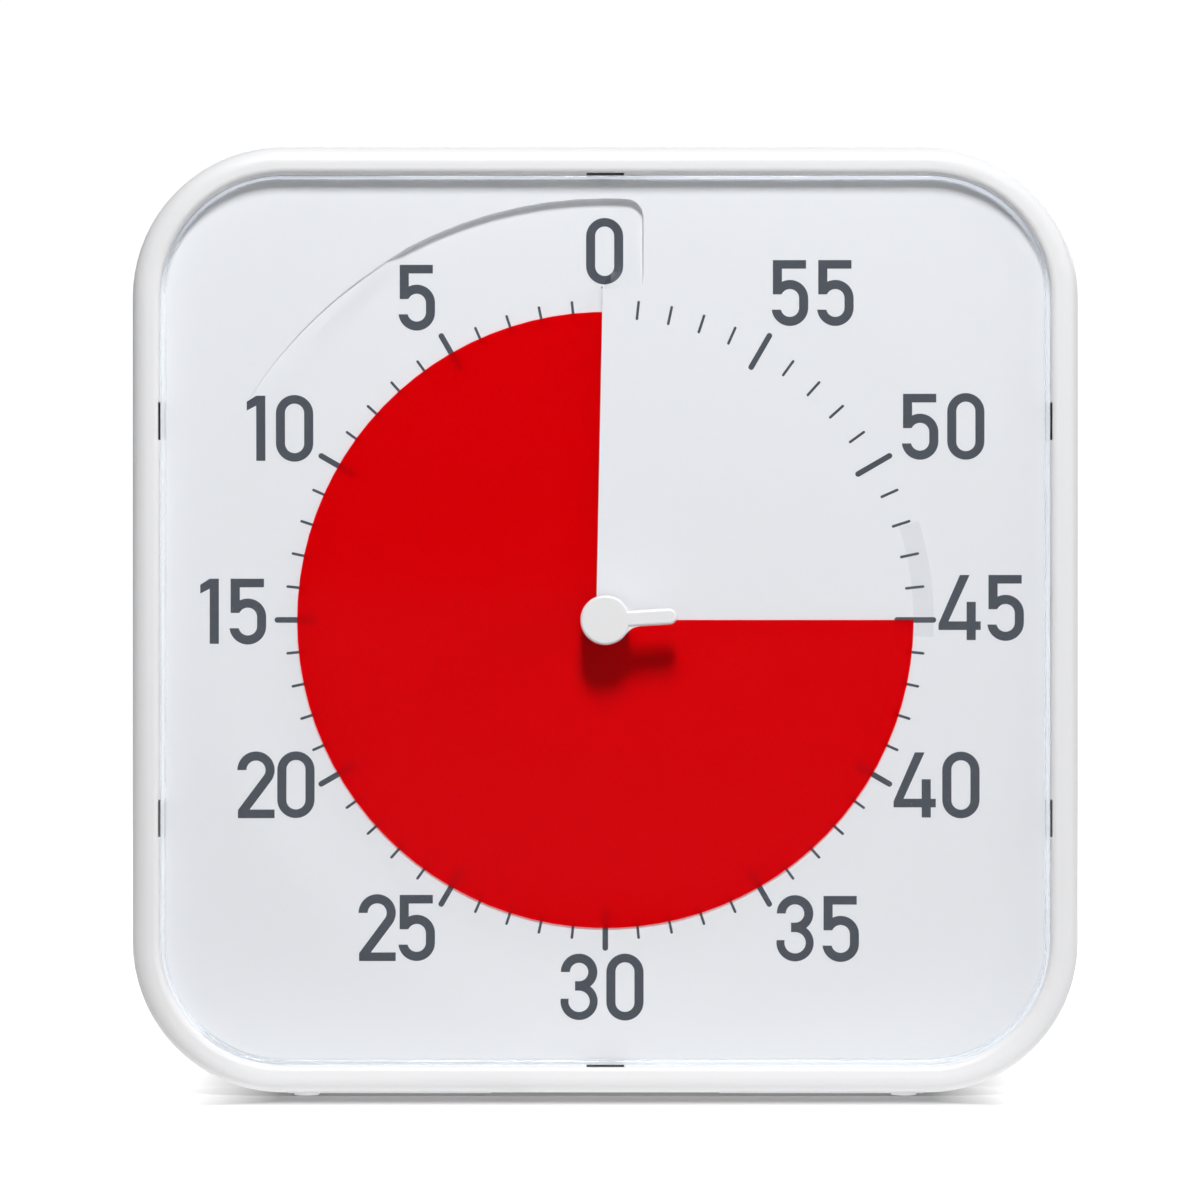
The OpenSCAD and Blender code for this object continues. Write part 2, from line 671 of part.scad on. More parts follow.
module dial_face() {
    // Columns beside the slit stand upright, at these shares of recess_x; the others are radial
    upright = [0.15, 0.35, 0.53, 0.66, 0.76, 0.84, 0.9, 0.955, 1, 1.06, 1.25];
    radial = [for (a = [12:4:356]) a];
    cols = len(upright) + len(radial) + 2;
    inner = [dial_hole_r, slit_r - 1, slit_r, mix(slit_r, slit_end, 1 / 3), mix(slit_r, slit_end, 2 / 3), slit_end];
    middle = 5;
    function turn(j, r) =
        j == 0 ? asin(lip_x(r) / r)
        : j <= len(upright) ? asin(upright[j - 1] * recess_x / max(r, slit_r))
        : j < cols - 1 ? radial[j - 1 - len(upright)]
        : 360 + asin((lip_x(r) + slit_lap(r)) / r);
    function column_x(j) = recess_r * sin(turn(j, recess_r));
    // Ring k is one of the inner circles, then lies between them and the wall, then on the wall and beyond it
    function ring_r(k, j) =
        let (m = k - len(inner), x = column_x(j))
        m < 0 ? inner[k]
        : m < middle ? mix(slit_end, wall_r(x, draft_w), (m + 1) / (middle + 1))
        : m == middle ? wall_r(x, draft_w)
        : m == middle + 1 ? wall_r(x, 0)
        : wall_r(x, 0) + recess_wall;
    rings = len(inner) + middle + 3;
    places = [for (k = [0:rings - 1], j = [0:cols - 1]) let (r = ring_r(k, j)) [r, turn(j, r)]];
    rim = [for (j = [0:cols - 1]) let (a = turn(j, recess_r)) polar(outline_r(a), a, dial_depth)];
    front = concat([for (p = places) polar(p[0], p[1], dial_depth + drop(p[1], p[0], 0))], rim);
    back = concat([for (p = places) polar(p[0], p[1], dial_depth + drop(p[1], p[0], recess_wall))], rim);
    color("ghostwhite") stand()
        sheet(front, [for (p = back) p - [0, 0, dial_t]], rings + 1, cols, len(inner) - 1);
}

module red_disc() color("red") stand()
    film_strip(film_in, disc_r, lead, lead + 360, 0, film_t, film_steps);

module guide_tab() color("white", 0.4) stand()
    film_strip(disc_r, guide_r, lead - guide_lead, lead + guide_tail, 0, film_t, 6);

// The arbor's section, with its flat turned to the disc's leading edge
module keyed_section(r, flat) difference() {
    circle(r);
    rotate(-lead) translate([-r, flat]) square(2 * r);
}

module disc_hub() color("white") stand() {
    slab(hub_front, hub_back - hub_front) difference() {
        circle(sleeve_r);
        keyed_section(arbor_r + run_gap, arbor_flat + run_gap);
    }
    film_strip(sleeve_r - 0.2, flange_r, lead, lead + 360, film_t, flange_t, film_steps);
}

// ---------- Knob and arbor ----------

// Fills the inner corner between the cap and the pointer with a tangent arc
module pointer_fillet() {
    f = pointer_fillet_r;
    y = pointer_w / 2 + f;
    x = sqrt(pow(knob_r + f, 2) - y * y);
    difference() {
        polygon([[0, 0], [x, 0], [x, y], [x * knob_r / (knob_r + f), y * knob_r / (knob_r + f)]]);
        translate([x, y]) circle(f);
    }
}

// Half of the pointer's section, with its middle on the y axis
module pointer_section() difference() {
    translate([0, knob_proud - pointer_t]) square([pointer_w / 2, pointer_t]);
    translate([pointer_w / 2, knob_proud]) mirror([1, 0]) corner_cut(knob_edge_r);
}

module knob_section() difference() {
    translate([0, -knob_back]) square([knob_r, knob_back + knob_proud]);
    translate([knob_r, knob_proud]) mirror([1, 0]) corner_cut(knob_edge_r);
}

module knob() color("white") stand() rotate(90 - lead + pointer_lead) difference() {
    straight = pointer_l - pointer_w / 2;
    union() {
        rotate_extrude() knob_section();
        slab(knob_back - 0.5, stem_back - knob_back + 0.5) circle(stem_r);
        for (s = [0, 1]) mirror([0, s, 0]) {
            translate([straight, 0, 0]) rotate([90, 0, -90]) linear_extrude(straight) pointer_section();
            slab(knob_edge_r / 2 - knob_proud, pointer_t - knob_edge_r / 2) pointer_fillet();
        }
        translate([straight, 0, 0]) rotate(-90) rotate_extrude(angle = 180) pointer_section();
    }
    bar([0, 0], 2 - knob_proud, stem_back + knob_proud, arbor_r);
}

module arbor() color("gold") stand() difference() {
    union() {
        bar([0, 0], -knob_proud + 2, arbor_step + knob_proud - 2, arbor_r);
        bar([0, 0], arbor_step - 0.5, arbor_back - arbor_step + 0.5, pivot_r);
    }
    slab(flat_front, flat_back - flat_front) difference() {
        circle(2 * arbor_r);
        keyed_section(arbor_r + 1, arbor_flat);
    }
}

// ---------- Movement ----------

module movement_shell(depth, d, inner_depth) difference() {
    slab(depth, d) rounded_square(movement_w, movement_corner_r);
    slab(inner_depth, d - movement_wall + 1)
        rounded_square(movement_w - 2 * movement_wall, movement_corner_r - movement_wall);
}

// Carries a wheel or the rotor: a post with a wider foot
module axle_post(at, wheel_depth_, top_l) {
    base = movement_depth + movement_wall - 0.3;
    bar(at, base, wheel_depth_ - base - 0.15, 2 * post_r);
    bar(at, base, wheel_depth_ - base + top_l, post_r);
}

module movement_front() color("dimgray") stand() difference() {
    union() {
        movement_shell(movement_depth, movement_split, movement_depth + movement_wall);
        bar([0, 0], movement_depth - nose_l, nose_l + movement_wall, nose_r);
        axle_post(third_at, wheel_depth - 0.2, 2.4 + 2 * wheel_t);
        axle_post(seconds_at, third_m_depth - 0.2, 2.4 + 2 * wheel_t);
        axle_post(rotor_at, seconds_depth - 0.2, 0.6);
        for (p = stator_posts) bar(p, movement_depth + 1, stator_depth - movement_depth - 1, stator_post_r);
    }
    bar([0, 0], movement_depth - nose_l - 1, movement_wall + nose_l + 2, arbor_r + run_gap);
}

module movement_rear() color("gray") stand() {
    depth = movement_depth + movement_split;
    back = movement_depth + movement_d;
    difference() {
        union() {
            movement_shell(depth, back - depth, depth - 1);
            for (p = ear_points) {
                bar(p, ear_depth, ear_t, ear_r);
                slab(ear_depth, ear_t) translate([p[0] > 0 ? movement_w / 2 - 1 : -ear_at, p[1] - ear_r])
                    square([ear_at - movement_w / 2 + 1, 2 * ear_r]);
            }
            bar([0, 0], arbor_step + 0.6, back - arbor_step - 0.6, 2 * pivot_r);
            for (x = [-1, 1], y = [-1, 1]) bar(board_at + [x * (board_w / 2 - 2), y * (board_h / 2 - 2)],
                board_depth + board_t, back - board_depth - board_t, 1.5);
        }
        bar([0, 0], arbor_step, arbor_back + 0.2 - arbor_step, pivot_r + run_gap);
        for (p = ear_points) bar(p, ear_depth - 1, ear_t + 2, screw_shank_r);
    }
}

module movement_screws() color("silver") stand()
    for (p = ear_points) translate([p[0], p[1], 0]) mirror([0, 0, 1])
        screw(-ear_depth, movement_screw_l);

// A toothed wheel with straight-sided teeth; the first tooth stands at angle `start`
module toothed(teeth, m, start, root_share, tip_share) {
    step = 360 / teeth;
    rotate(start) polygon([
        for (i = [0:teeth - 1], e = [[-root_share, -1.25], [-tip_share, 0.9], [tip_share, 0.9], [root_share, -1.25]])
            m * (teeth / 2 + e[1]) * [cos((i + e[0]) * step), sin((i + e[0]) * step)]
    ]);
}

// A wheel with its pinion in front of it, running on a post
module wheel_and_pinion(at, pinion_depth, pinion_m, pinion_start, depth, teeth, m, start) {
    translate([at[0], at[1], 0]) difference() {
        union() {
            slab(pinion_depth - 0.2, depth - pinion_depth + 0.4) toothed(leaves, pinion_m, pinion_start, 0.2, 0.08);
            slab(depth, wheel_t) difference() {
                toothed(teeth, m, start, 0.27, 0.1);
                for (a = [0:90:270]) rotate(a) translate([m * teeth / 4, 0]) circle(m * teeth / 9);
            }
        }
        bar([0, 0], pinion_depth - 2, 10, post_r + run_gap);
    }
}

module centre_wheel() color("gold") stand() slab(wheel_depth, wheel_t) difference() {
    toothed(centre_teeth, centre_m, third_angle, 0.27, 0.1);
    for (a = [0:72:288]) rotate(a + 20) translate([centre_m * centre_teeth / 3.6, 0]) circle(centre_m * centre_teeth / 10);
    circle(arbor_r);
}

module clutch_spring() color("goldenrod") stand() {
    slab(wheel_depth + wheel_t, 0.3) difference() {
        circle(arbor_r + 1.6);
        circle(arbor_r);
    }
    for (a = [0:120:240]) rotate(a) slab(wheel_depth + wheel_t, 0.3) translate([arbor_r + 0.6, -0.8]) square([3.4, 1.6]);
}

module third_wheel() color("gold") stand()
    wheel_and_pinion(third_at, wheel_depth, centre_m, third_angle + 180 + 180 / leaves,
        third_m_depth, third_teeth, third_m, seconds_angle);

module seconds_wheel() color("gold") stand()
    wheel_and_pinion(seconds_at, third_m_depth, third_m, seconds_angle + 180 + 180 / leaves,
        seconds_depth, seconds_teeth, seconds_m, 0);

module rotor() color("darkslategray") stand() translate([rotor_at[0], rotor_at[1], 0]) difference() {
    union() {
        bar([0, 0], seconds_depth - 0.2, rotor_depth - seconds_depth + 0.4, rotor_pinion_r);
        bar([0, 0], rotor_depth, rotor_l, rotor_r);
    }
    bar([0, 0], seconds_depth - 1, 1.5, post_r);
}

module stator() color("slategray") stand() slab(stator_depth, stator_t) difference() {
    leg_y = coil_y - stator_leg / 2;
    union() {
        translate(rotor_at) circle(rotor_r + stator_ring);
        translate([rotor_at[0], rotor_at[1] - stator_leg / 2])
            square([coil_right + stator_leg - rotor_at[0], stator_leg]);
        translate([coil_right, leg_y]) square([stator_leg, rotor_at[1] - leg_y]);
        translate([rotor_at[0] - stator_leg, leg_y]) square([stator_leg, rotor_at[1] - leg_y]);
        translate([rotor_at[0] - stator_leg, leg_y]) square([coil_left - rotor_at[0] + stator_leg, stator_leg]);
    }
    translate(rotor_at) circle(rotor_r + 0.5);
}

// Stands a bar up along the coil's axis, from a distance to the right of the arbor
module along_coil(x) translate([x, coil_y, -stator_depth - stator_t / 2]) rotate([0, 90, 0]) children();

module coil_bobbin() color("black") stand() {
    cheek = 2 * coil_r + 1;
    for (x = [coil_left, coil_right - cheek_t]) along_coil(x)
        linear_extrude(cheek_t) square(cheek, center = true);
    along_coil(coil_left) cylinder(h = coil_l, r = core_r);
}

module coil_winding() color("peru") stand() along_coil(coil_left + cheek_t) difference() {
    cylinder(h = coil_l - 2 * cheek_t, r = coil_r);
    translate([0, 0, -1]) cylinder(h = coil_l, r = core_r);
}

module circuit_board() color("seagreen") stand() slab(board_depth, board_t) translate(board_at) difference() {
    square([board_w, board_h], center = true);
    translate([0, board_h / 2]) circle(4);
}

module drive_chip() color("black") stand() bar(board_at + [-9, -1], board_depth - 1, 1, 3.2);

module quartz_crystal() color("silver") stand() translate([board_at[0] + 6, board_at[1] - 2, -board_depth + 1])
    rotate([0, 90, 0]) cylinder(h = 7, r = 1);

module buzzer() color("black") stand() difference() {
    bar(buzzer_at, cover_d - buzzer_h, buzzer_h, buzzer_r - 0.1);
    bar(buzzer_at, cover_d - 1.5, 2, 1.6);
    bar(buzzer_at, cover_d - 0.8, 2, buzzer_r - 1.5);
}

// ---------- Battery ----------

module battery_cell() color("darkorange") stand()
    translate([bay_at[0] - cell_l / 2, bay_at[1], -cell_depth]) rotate([0, 90, 0]) {
        cylinder(h = cell_l, r = cell_dia / 2);
        cylinder(h = cell_l + button_l, r = button_r);
    }

// A sheet-metal contact across the bay's end, at a distance from the bay's middle
module contact_plate(x) slab(bay_depth + bay_wall, cell_dia) translate([x, bay_at[1] - 5]) square([contact_t, 10]);

module contact_positive() color("silver") stand() {
    contact_plate(bay_l / 2 - contact_t);
    translate([cell_l / 2 + button_l, bay_at[1], -cell_depth]) rotate([0, 90, 0])
        cylinder(h = bay_l / 2 - cell_l / 2 - button_l, r = 2);
}

// One winding of a spring as a tube along a screw line that widens from r_from to r_to
module coil_spring(l, r_from, r_to, wire_r, turns) {
    steps = 14 * turns;
    sides = 8;
    function at(i) = let (u = i / steps, r = mix(r_from, r_to, u)) [r * cos(360 * turns * u), r * sin(360 * turns * u), l * u];
    points = [
        for (i = [0:steps], s = [0:sides - 1])
            let (a = 360 * turns * i / steps, c = at(i), w = 360 * s / sides)
            c + wire_r * [cos(w) * cos(a), cos(w) * sin(a), sin(w)]
    ];
    polyhedron(
        points = points,
        faces = [
            [for (s = [sides - 1:-1:0]) s],
            [for (s = [0:sides - 1]) steps * sides + s],
            for (i = [0:steps - 1], s = [0:sides - 1])
                let (a = i * sides + s, b = i * sides + (s + 1) % sides)
                each [[a, b + sides, a + sides], [a, b, b + sides]]
        ]
    );
}

module contact_negative() color("silver") stand() {
    contact_plate(-bay_l / 2);
    wire_r = 0.35;
    gap = bay_l / 2 - cell_l / 2 - contact_t;
    translate([-bay_l / 2 + contact_t, bay_at[1], -cell_depth]) rotate([0, 90, 0])
        translate([0, 0, wire_r * 0.6]) coil_spring(gap - 1.6 * wire_r, 5, 3, wire_r, 3);
}

// A bar on the door's hinge line, past the door's end on one side
module hinge_bar(side, l, r)
    translate([side * door_w / 2, bay_at[1] - door_h / 2 + door_t / 2, -hinge_depth]) rotate([0, side * 90, 0])
        translate([0, 0, -0.5]) cylinder(h = l + 0.5, r = r);

module battery_door() color("whitesmoke") stand() {
    edge_y = bay_at[1] - door_h / 2 + door_t / 2;
    slab(hinge_depth - door_t / 2, door_t) translate([-door_w / 2, edge_y]) square([door_w, door_h - door_t / 2]);
    translate([-door_w / 2, edge_y, -hinge_depth]) rotate([0, 90, 0]) cylinder(h = door_w, r = door_t / 2);
    for (s = [-1, 1]) hinge_bar(s, hinge_l, hinge_r);
}

module switch_body() color("black") stand() {
    front = cover_d - switch_body_d;
    difference() {
        slab(front, switch_body_d) translate(switch_at) square([switch_body_w, switch_body_h], center = true);
        slab(cover_d - 2.4, 4) translate(switch_at)
            square([slider_w + switch_travel + 2, slider_h] + 2 * [move_gap, move_gap], center = true);
    }
    for (x = [-3, 0, 3]) slab(front - 2.5, 3) translate(switch_at + [x, 0]) square([0.8, 1.6], center = true);
}

module switch_slider() color("dimgray") stand() {
    grip_front = cover_d - 2.4 + move_gap;
    slab(grip_front, case_d + slider_proud - grip_front) translate(switch_at - [switch_travel / 2, 0]) difference() {
        square([slider_w, slider_h], center = true);
        for (x = [-1, 1]) translate([x * slider_w / 4, slider_h / 2]) circle(0.3);
    }
}

// ---------- Mounting ----------

module magnets() color("darkgray") stand()
    for (p = magnet_at) bar(p, case_d - magnet_t - 0.2, magnet_t, magnet_r + 0.1);

module foot() difference() {
    linear_extrude(foot_t) {
        circle(foot_w / 2);
        translate([-foot_w / 2, 0]) square([foot_w, foot_l]);
        translate([0, foot_l]) circle(foot_w / 2);
    }
    translate([0, 0, -1]) cylinder(h = foot_t + 2, r = foot_pin_r + run_gap);
    translate([0, 0, -1]) cylinder(h = 2.5, r = foot_pin_r + 1.4);
    translate([-foot_w, foot_l - 3, foot_t]) rotate([0, 90, 0]) cylinder(h = 2 * foot_w, r = 1);
}

module foot_left() color("whitesmoke") at_feet([-1]) translate([0, 0, -foot_proud]) foot();

module foot_right() color("whitesmoke") at_feet([1]) translate([0, 0, -foot_proud]) foot();

module foot_pins() color("silver") at_feet() {
    translate([0, 0, 0.4 - foot_proud]) cylinder(h = 1, r = foot_pin_r + 1.1);
    translate([0, 0, 0.4 - foot_proud]) cylinder(h = pin_boss_h - 1 + foot_proud - 0.4, r = foot_pin_r);
}

// ---------- Nodes ----------

front_bezel();
lens();
dial_face();
rear_cover();
case_screws();
red_disc();
guide_tab();
disc_hub();
knob();
arbor();
movement_front();
movement_rear();
movement_screws();
centre_wheel();
clutch_spring();
third_wheel();
seconds_wheel();
rotor();
stator();
coil_bobbin();
coil_winding();
circuit_board();
drive_chip();
quartz_crystal();
buzzer();
switch_body();
switch_slider();
battery_cell();
contact_positive();
contact_negative();
battery_door();
magnets();
foot_left();
foot_right();
foot_pins();
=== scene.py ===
"""Dresses the frame of a visual countdown timer: finishes, printed dial, studio and camera."""

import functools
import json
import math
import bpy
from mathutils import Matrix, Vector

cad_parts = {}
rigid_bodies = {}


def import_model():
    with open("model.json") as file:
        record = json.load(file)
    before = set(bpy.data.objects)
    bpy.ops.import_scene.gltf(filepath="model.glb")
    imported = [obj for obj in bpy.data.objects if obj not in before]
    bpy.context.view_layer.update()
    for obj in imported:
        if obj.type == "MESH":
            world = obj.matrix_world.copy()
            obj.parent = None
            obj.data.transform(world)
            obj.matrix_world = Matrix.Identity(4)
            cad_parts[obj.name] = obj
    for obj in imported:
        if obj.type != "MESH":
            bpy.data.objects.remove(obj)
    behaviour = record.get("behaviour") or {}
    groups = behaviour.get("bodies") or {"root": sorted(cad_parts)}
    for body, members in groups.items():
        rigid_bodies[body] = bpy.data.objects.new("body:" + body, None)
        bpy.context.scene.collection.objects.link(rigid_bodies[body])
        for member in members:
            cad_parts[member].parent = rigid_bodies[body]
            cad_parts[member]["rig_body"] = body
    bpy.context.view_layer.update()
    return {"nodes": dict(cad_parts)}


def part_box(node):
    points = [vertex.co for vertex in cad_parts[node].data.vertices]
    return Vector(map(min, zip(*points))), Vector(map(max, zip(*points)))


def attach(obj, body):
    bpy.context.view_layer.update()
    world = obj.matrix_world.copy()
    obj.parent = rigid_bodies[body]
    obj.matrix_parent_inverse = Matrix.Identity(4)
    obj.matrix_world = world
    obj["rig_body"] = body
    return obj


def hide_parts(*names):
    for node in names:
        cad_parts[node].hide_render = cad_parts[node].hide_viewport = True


bl_info = {
    "name": "Visual Countdown Timer",
    "version": (1, 0, 0),
    "blender": (4, 5, 0),
    "location": "View3D > Sidebar > Timer",
    "description": "Finishes a countdown timer's parts, prints its dial and sets up a studio",
    "category": "Object",
}

import bpy
from bpy.props import FloatProperty, FloatVectorProperty, PointerProperty
from mathutils import Matrix, Vector

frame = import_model()

MM = 0.001
MERGE = 1e-6
SHARP = 30.0
CASE_LOW, CASE_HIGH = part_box("front_bezel")
FACE_Y = CASE_LOW.y
DIAL_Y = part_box("dial_face")[0].y
CENTRE = (CASE_LOW + CASE_HIGH) / 2
INLAY_REACH = 0.014

# The bezel's opening and the lens's raised rim inside it
OPENING_HALF = 0.1434
OPENING_CORNER = 0.0395
RIM_WIDTH = 0.00185
RIM_BLUR = 0.0004

# Where masks start, are full, end being full and end, in metres: the ramp right of and above the knob,
# and the painted highlight outwards from the opening's edge, which fades in on the way up
RAMP_RIGHT = (-0.002, 0.0, 0.0115, 0.012)
RAMP_UP = (0.1, 0.1015, 0.12, 0.13)
PAINTED_GLINT_LINE = (-0.0018, -0.0013, -0.0011, -0.0005)
PAINTED_GLINT_UP = (0.108, 0.138)

# Where the floor starts to glow and glows fully: in front of the bezel, beside the feet and behind the case
GLOW_FRONT = (FACE_Y - 0.011, FACE_Y - 0.038)
GLOW_BESIDE = (0.105, 0.14)
GLOW_BEHIND = (0.03, 0.08)
FLOOR_FILL_REACH = 0.05
FLOOR_SIZE = 8.0

# Where the middle of each number stands on the dial, in mm right of and above the knob
NUMBER_PLACES = {
    0: (-0.2, 119.1), 5: (-60.9, 104.2), 10: (-105.0, 61.85), 15: (-120.1, 2.8),
    20: (-106.3, -53.2), 25: (-67.3, -99.3), 30: (-1.1, -118.5), 35: (68.5, -99.6),
    40: (106.9, -53.25), 45: (121.3, 4.0), 50: (109.0, 62.45), 55: (66.9, 105.6),
}


# ---------- Sizes and colours ----------


def millimetres(name, description, default):
    return FloatProperty(name=name, description=description, default=default * MM, unit="LENGTH", precision=5)


def number(name, description, default, unit="NONE"):
    return FloatProperty(name=name, description=description, default=default, unit=unit)


def colour(name, description, default):
    return FloatVectorProperty(
        name=name, description=description, default=default, subtype="COLOR", min=0, max=1)


class TimerPrint(bpy.types.PropertyGroup):
    """Sizes of the dial's print"""

    minor_width: millimetres("Minute Mark Width", "Width of a minute mark", 0.85)
    minor_in: millimetres("Minute Mark Start", "Radius at which a minute mark starts", 97.25)
    minor_out: millimetres("Minute Mark End", "Radius at which a minute mark ends", 103.55)
    major_width: millimetres("Five Minute Mark Width", "Width of a five minute mark", 1.8)
    major_in: millimetres("Five Minute Mark Start", "Radius at which a five minute mark starts", 93.3)
    major_out: millimetres("Five Minute Mark End", "Radius at which a five minute mark ends", 106.8)
    digit_height: millimetres("Digit Height", "Height of a round digit", 21.5)
    digit_width: millimetres("Digit Width", "Width of a round digit", 12.0)
    upright: millimetres("Upright Stroke", "Width of an upright stroke", 2.93)
    level: millimetres("Level Stroke", "Height of a level stroke", 2.76)
    ink: millimetres("Ink Thickness", "Height of the print above the dial", 0.04)
    zone_radius: millimetres("Sunk Zone Radius", "Radius of the sunk zone's wall", 135.1)
    step: millimetres("Fading Step", "Greatest height of the step in which the sunk zone fades out", 0.58)
    fade_start: number("Fade Start", "Degrees left of the top where the step starts", 4.0)
    fade_end: number("Fade End", "Degrees left of the top where the step ends", 63.0)


class TimerColours(bpy.types.PropertyGroup):
    """Colours of the visible finishes"""

    case: colour("Case", "White of the case, knob and feet", (0.86, 0.862, 0.872))
    dial: colour("Dial", "Cool white of the dial", (0.865, 0.87, 0.89))
    disc: colour("Disc", "Red of the disc", (1.0, 0.0, 0.004))
    ink: colour("Ink", "Blue grey of the print", (0.051, 0.059, 0.075))
    lens: colour("Lens", "Tint of the clear lens", (0.992, 0.996, 1.0))
    slider: colour("Slider", "Grey of the sound switch", (0.075, 0.08, 0.09))


class TimerStage(bpy.types.PropertyGroup):
    """Sizes of the studio"""

    camera_distance: number("Camera Distance", "Distance of the camera from the bezel", 1.7, "LENGTH")
    view_width: number("View Width", "Width of the view at the bezel", 0.38585, "LENGTH")
    aim_right: millimetres("Aim Right", "Distance that the camera aims right of the case's middle", -1.7)
    aim_up: millimetres("Aim Up", "Distance that the camera aims above the case's middle", 6.43)
    key_power: number("Key Power", "Power of the lamp above the case", 40.8, "POWER")
    side_power: number("Side Power", "Power of the lamp right of the case", 11.0, "POWER")
    bounce_power: number("Bounce Power", "Power of the lamp low in front of the case", 1.9, "POWER")
    back_power: number("Back Power", "Power of the lamp behind the case", 20.0, "POWER")
    fill_left: number("Left Fill", "Strength of the room's light from the left", 0.02)
    fill_right: number("Right Fill", "Strength of the room's light from the right", 0.06)
    floor_fill: number("Floor Fill", "Strength of the floor's light under the bezel", 0.75)


# ---------- Modelling by hand ----------


def pick(*pieces):
    """Selects only these pieces, the last of them active."""
    bpy.ops.object.select_all(action="DESELECT")
    for piece in pieces:
        piece.select_set(True)
        bpy.context.view_layer.objects.active = piece


def edit(piece):
    """Opens a piece in edit mode with everything in it selected."""
    pick(piece)
    bpy.ops.object.mode_set(mode="EDIT")
    bpy.ops.mesh.select_all(action="SELECT")


def leave():
    bpy.ops.object.mode_set(mode="OBJECT")


def apply(piece, kind, **settings):
    """Adds a modifier to a piece and applies it."""
    pick(piece)
    modifier = piece.modifiers.new(kind.title(), kind)
    for name, value in settings.items():
        setattr(modifier, name, value)
    bpy.ops.object.modifier_apply(modifier=modifier.name)


def smooth(piece, sharp=SHARP):
    """Smooth shading that stops at sharp edges and leaves large flat faces flat."""
    pick(piece)
    bpy.ops.object.shade_smooth_by_angle(angle=math.radians(sharp))
    apply(piece, "WEIGHTED_NORMAL", keep_sharp=True)


def settle(piece, body, material):
    """Gives a finished piece its material, its body and its slot."""
    piece.data.materials.clear()
    piece.data.materials.append(material)
    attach(piece, body)
    return piece


def body_of(node):
    return frame["nodes"][node]["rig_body"]


def dress(node, material):
    """Paints a CAD node and leaves its shape alone."""
    slots = frame["nodes"][node].data.materials
    slots.clear()
    slots.append(material)


def reshape(node, name, material, sharp=SHARP):
    """A merged copy of a node with smooth faces, which takes the node's place."""
    source = frame["nodes"][node]
    piece = bpy.data.objects.new(name, source.data.copy())
    bpy.context.scene.collection.objects.link(piece)
    edit(piece)
    bpy.ops.mesh.customdata_custom_splitnormals_clear()
    bpy.ops.mesh.remove_doubles(threshold=MERGE)
    leave()
    smooth(piece, sharp)
    settle(piece, body_of(node), material)
    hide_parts(node)
    return piece


def on_dial(x, y):
    """A point in front of the dial, from mm right of and above the knob."""
    return Vector((CENTRE.x + x * MM, FACE_Y, CENTRE.z + y * MM))


class Pen:
    """Draws an outline on the dial in edit mode: straights are extruded and arcs are spun."""

    arc_step = math.radians(9)

    def __init__(self, name, x, y):
        self.at = Vector((x, y))
        mesh = bpy.data.meshes.new(name)
        mesh.from_pydata([on_dial(x, y)], [], [])
        self.piece = bpy.data.objects.new(name, mesh)
        bpy.context.scene.collection.objects.link(self.piece)
        bpy.context.tool_settings.mesh_select_mode = (True, False, False)
        edit(self.piece)

    def line(self, x, y):
        """A straight to a point."""
        step = Vector((x, y)) - self.at
        bpy.ops.mesh.extrude_region_move(
            TRANSFORM_OT_translate={"value": (step.x * MM, 0, step.y * MM)})
        self.at = Vector((x, y))

    def arc(self, x, y, degrees):
        """An arc about a centre, anticlockwise for a positive angle."""
        turn = math.radians(degrees)
        bpy.ops.mesh.spin(
            steps=max(2, round(abs(turn) / self.arc_step)), angle=turn, center=on_dial(x, y), axis=(0, 1, 0))
        centre = Vector((x, y))
        self.at = centre + Matrix.Rotation(turn, 2) @ (self.at - centre)

    def lift(self):
        """Selects everything and joins the outline's ends."""
        bpy.ops.mesh.select_all(action="SELECT")
        bpy.ops.mesh.remove_doubles(threshold=MERGE)
        bpy.ops.mesh.select_all(action="SELECT")

    def fill(self):
        """Closes the outline with a face and ends the drawing."""
        self.lift()
        bpy.ops.mesh.edge_face_add()
        leave()
        return self.piece


# ---------- Digits ----------
# Each digit is drawn about the middle of its box, in mm. The bare numbers are its own proportions.

FLAT_DROP = 0.25  # How far a digit with a flat top or foot stays inside the height of a round one


def digit_box():
    """Half a round digit's width and height and the width of its upright and level strokes, in mm."""
    sizes = bpy.context.scene.timer_print
    return sizes.digit_width / MM / 2, sizes.digit_height / MM / 2, sizes.upright / MM, sizes.level / MM


def digit_0(x, y):
    half_w, half_h, upright, level = digit_box()
    straight = half_h - half_w
    rings = []
    for r, end in ((half_w, straight), (half_w - upright, half_h - level - half_w + upright)):
        pen = Pen("digit", x + r, y - end)
        pen.line(x + r, y + end)
        pen.arc(x, y + end, 180)
        pen.line(x - r, y - end)
        pen.arc(x, y - end, 180)
        pen.lift()
        leave()
        rings.append(pen.piece)
    pick(*rings)
    bpy.ops.object.join()
    edit(bpy.context.object)
    bpy.ops.mesh.bridge_edge_loops()
    leave()
    return bpy.context.object


def digit_1(x, y):
    half_w, half_h, upright, _ = digit_box()
    top = half_h - FLAT_DROP
    right = x + half_w / 2
    stem = right - upright
    flag = stem - 3.04
    pen = Pen("digit", right, y - top)
    pen.line(right, y + top)
    pen.line(stem, y + top)
    pen.line(flag, y + top - 1.95)
    pen.line(flag, y + top - 4.8)
    pen.line(stem, y + top - 3.2)
    pen.line(stem, y - top)
    return pen.fill()


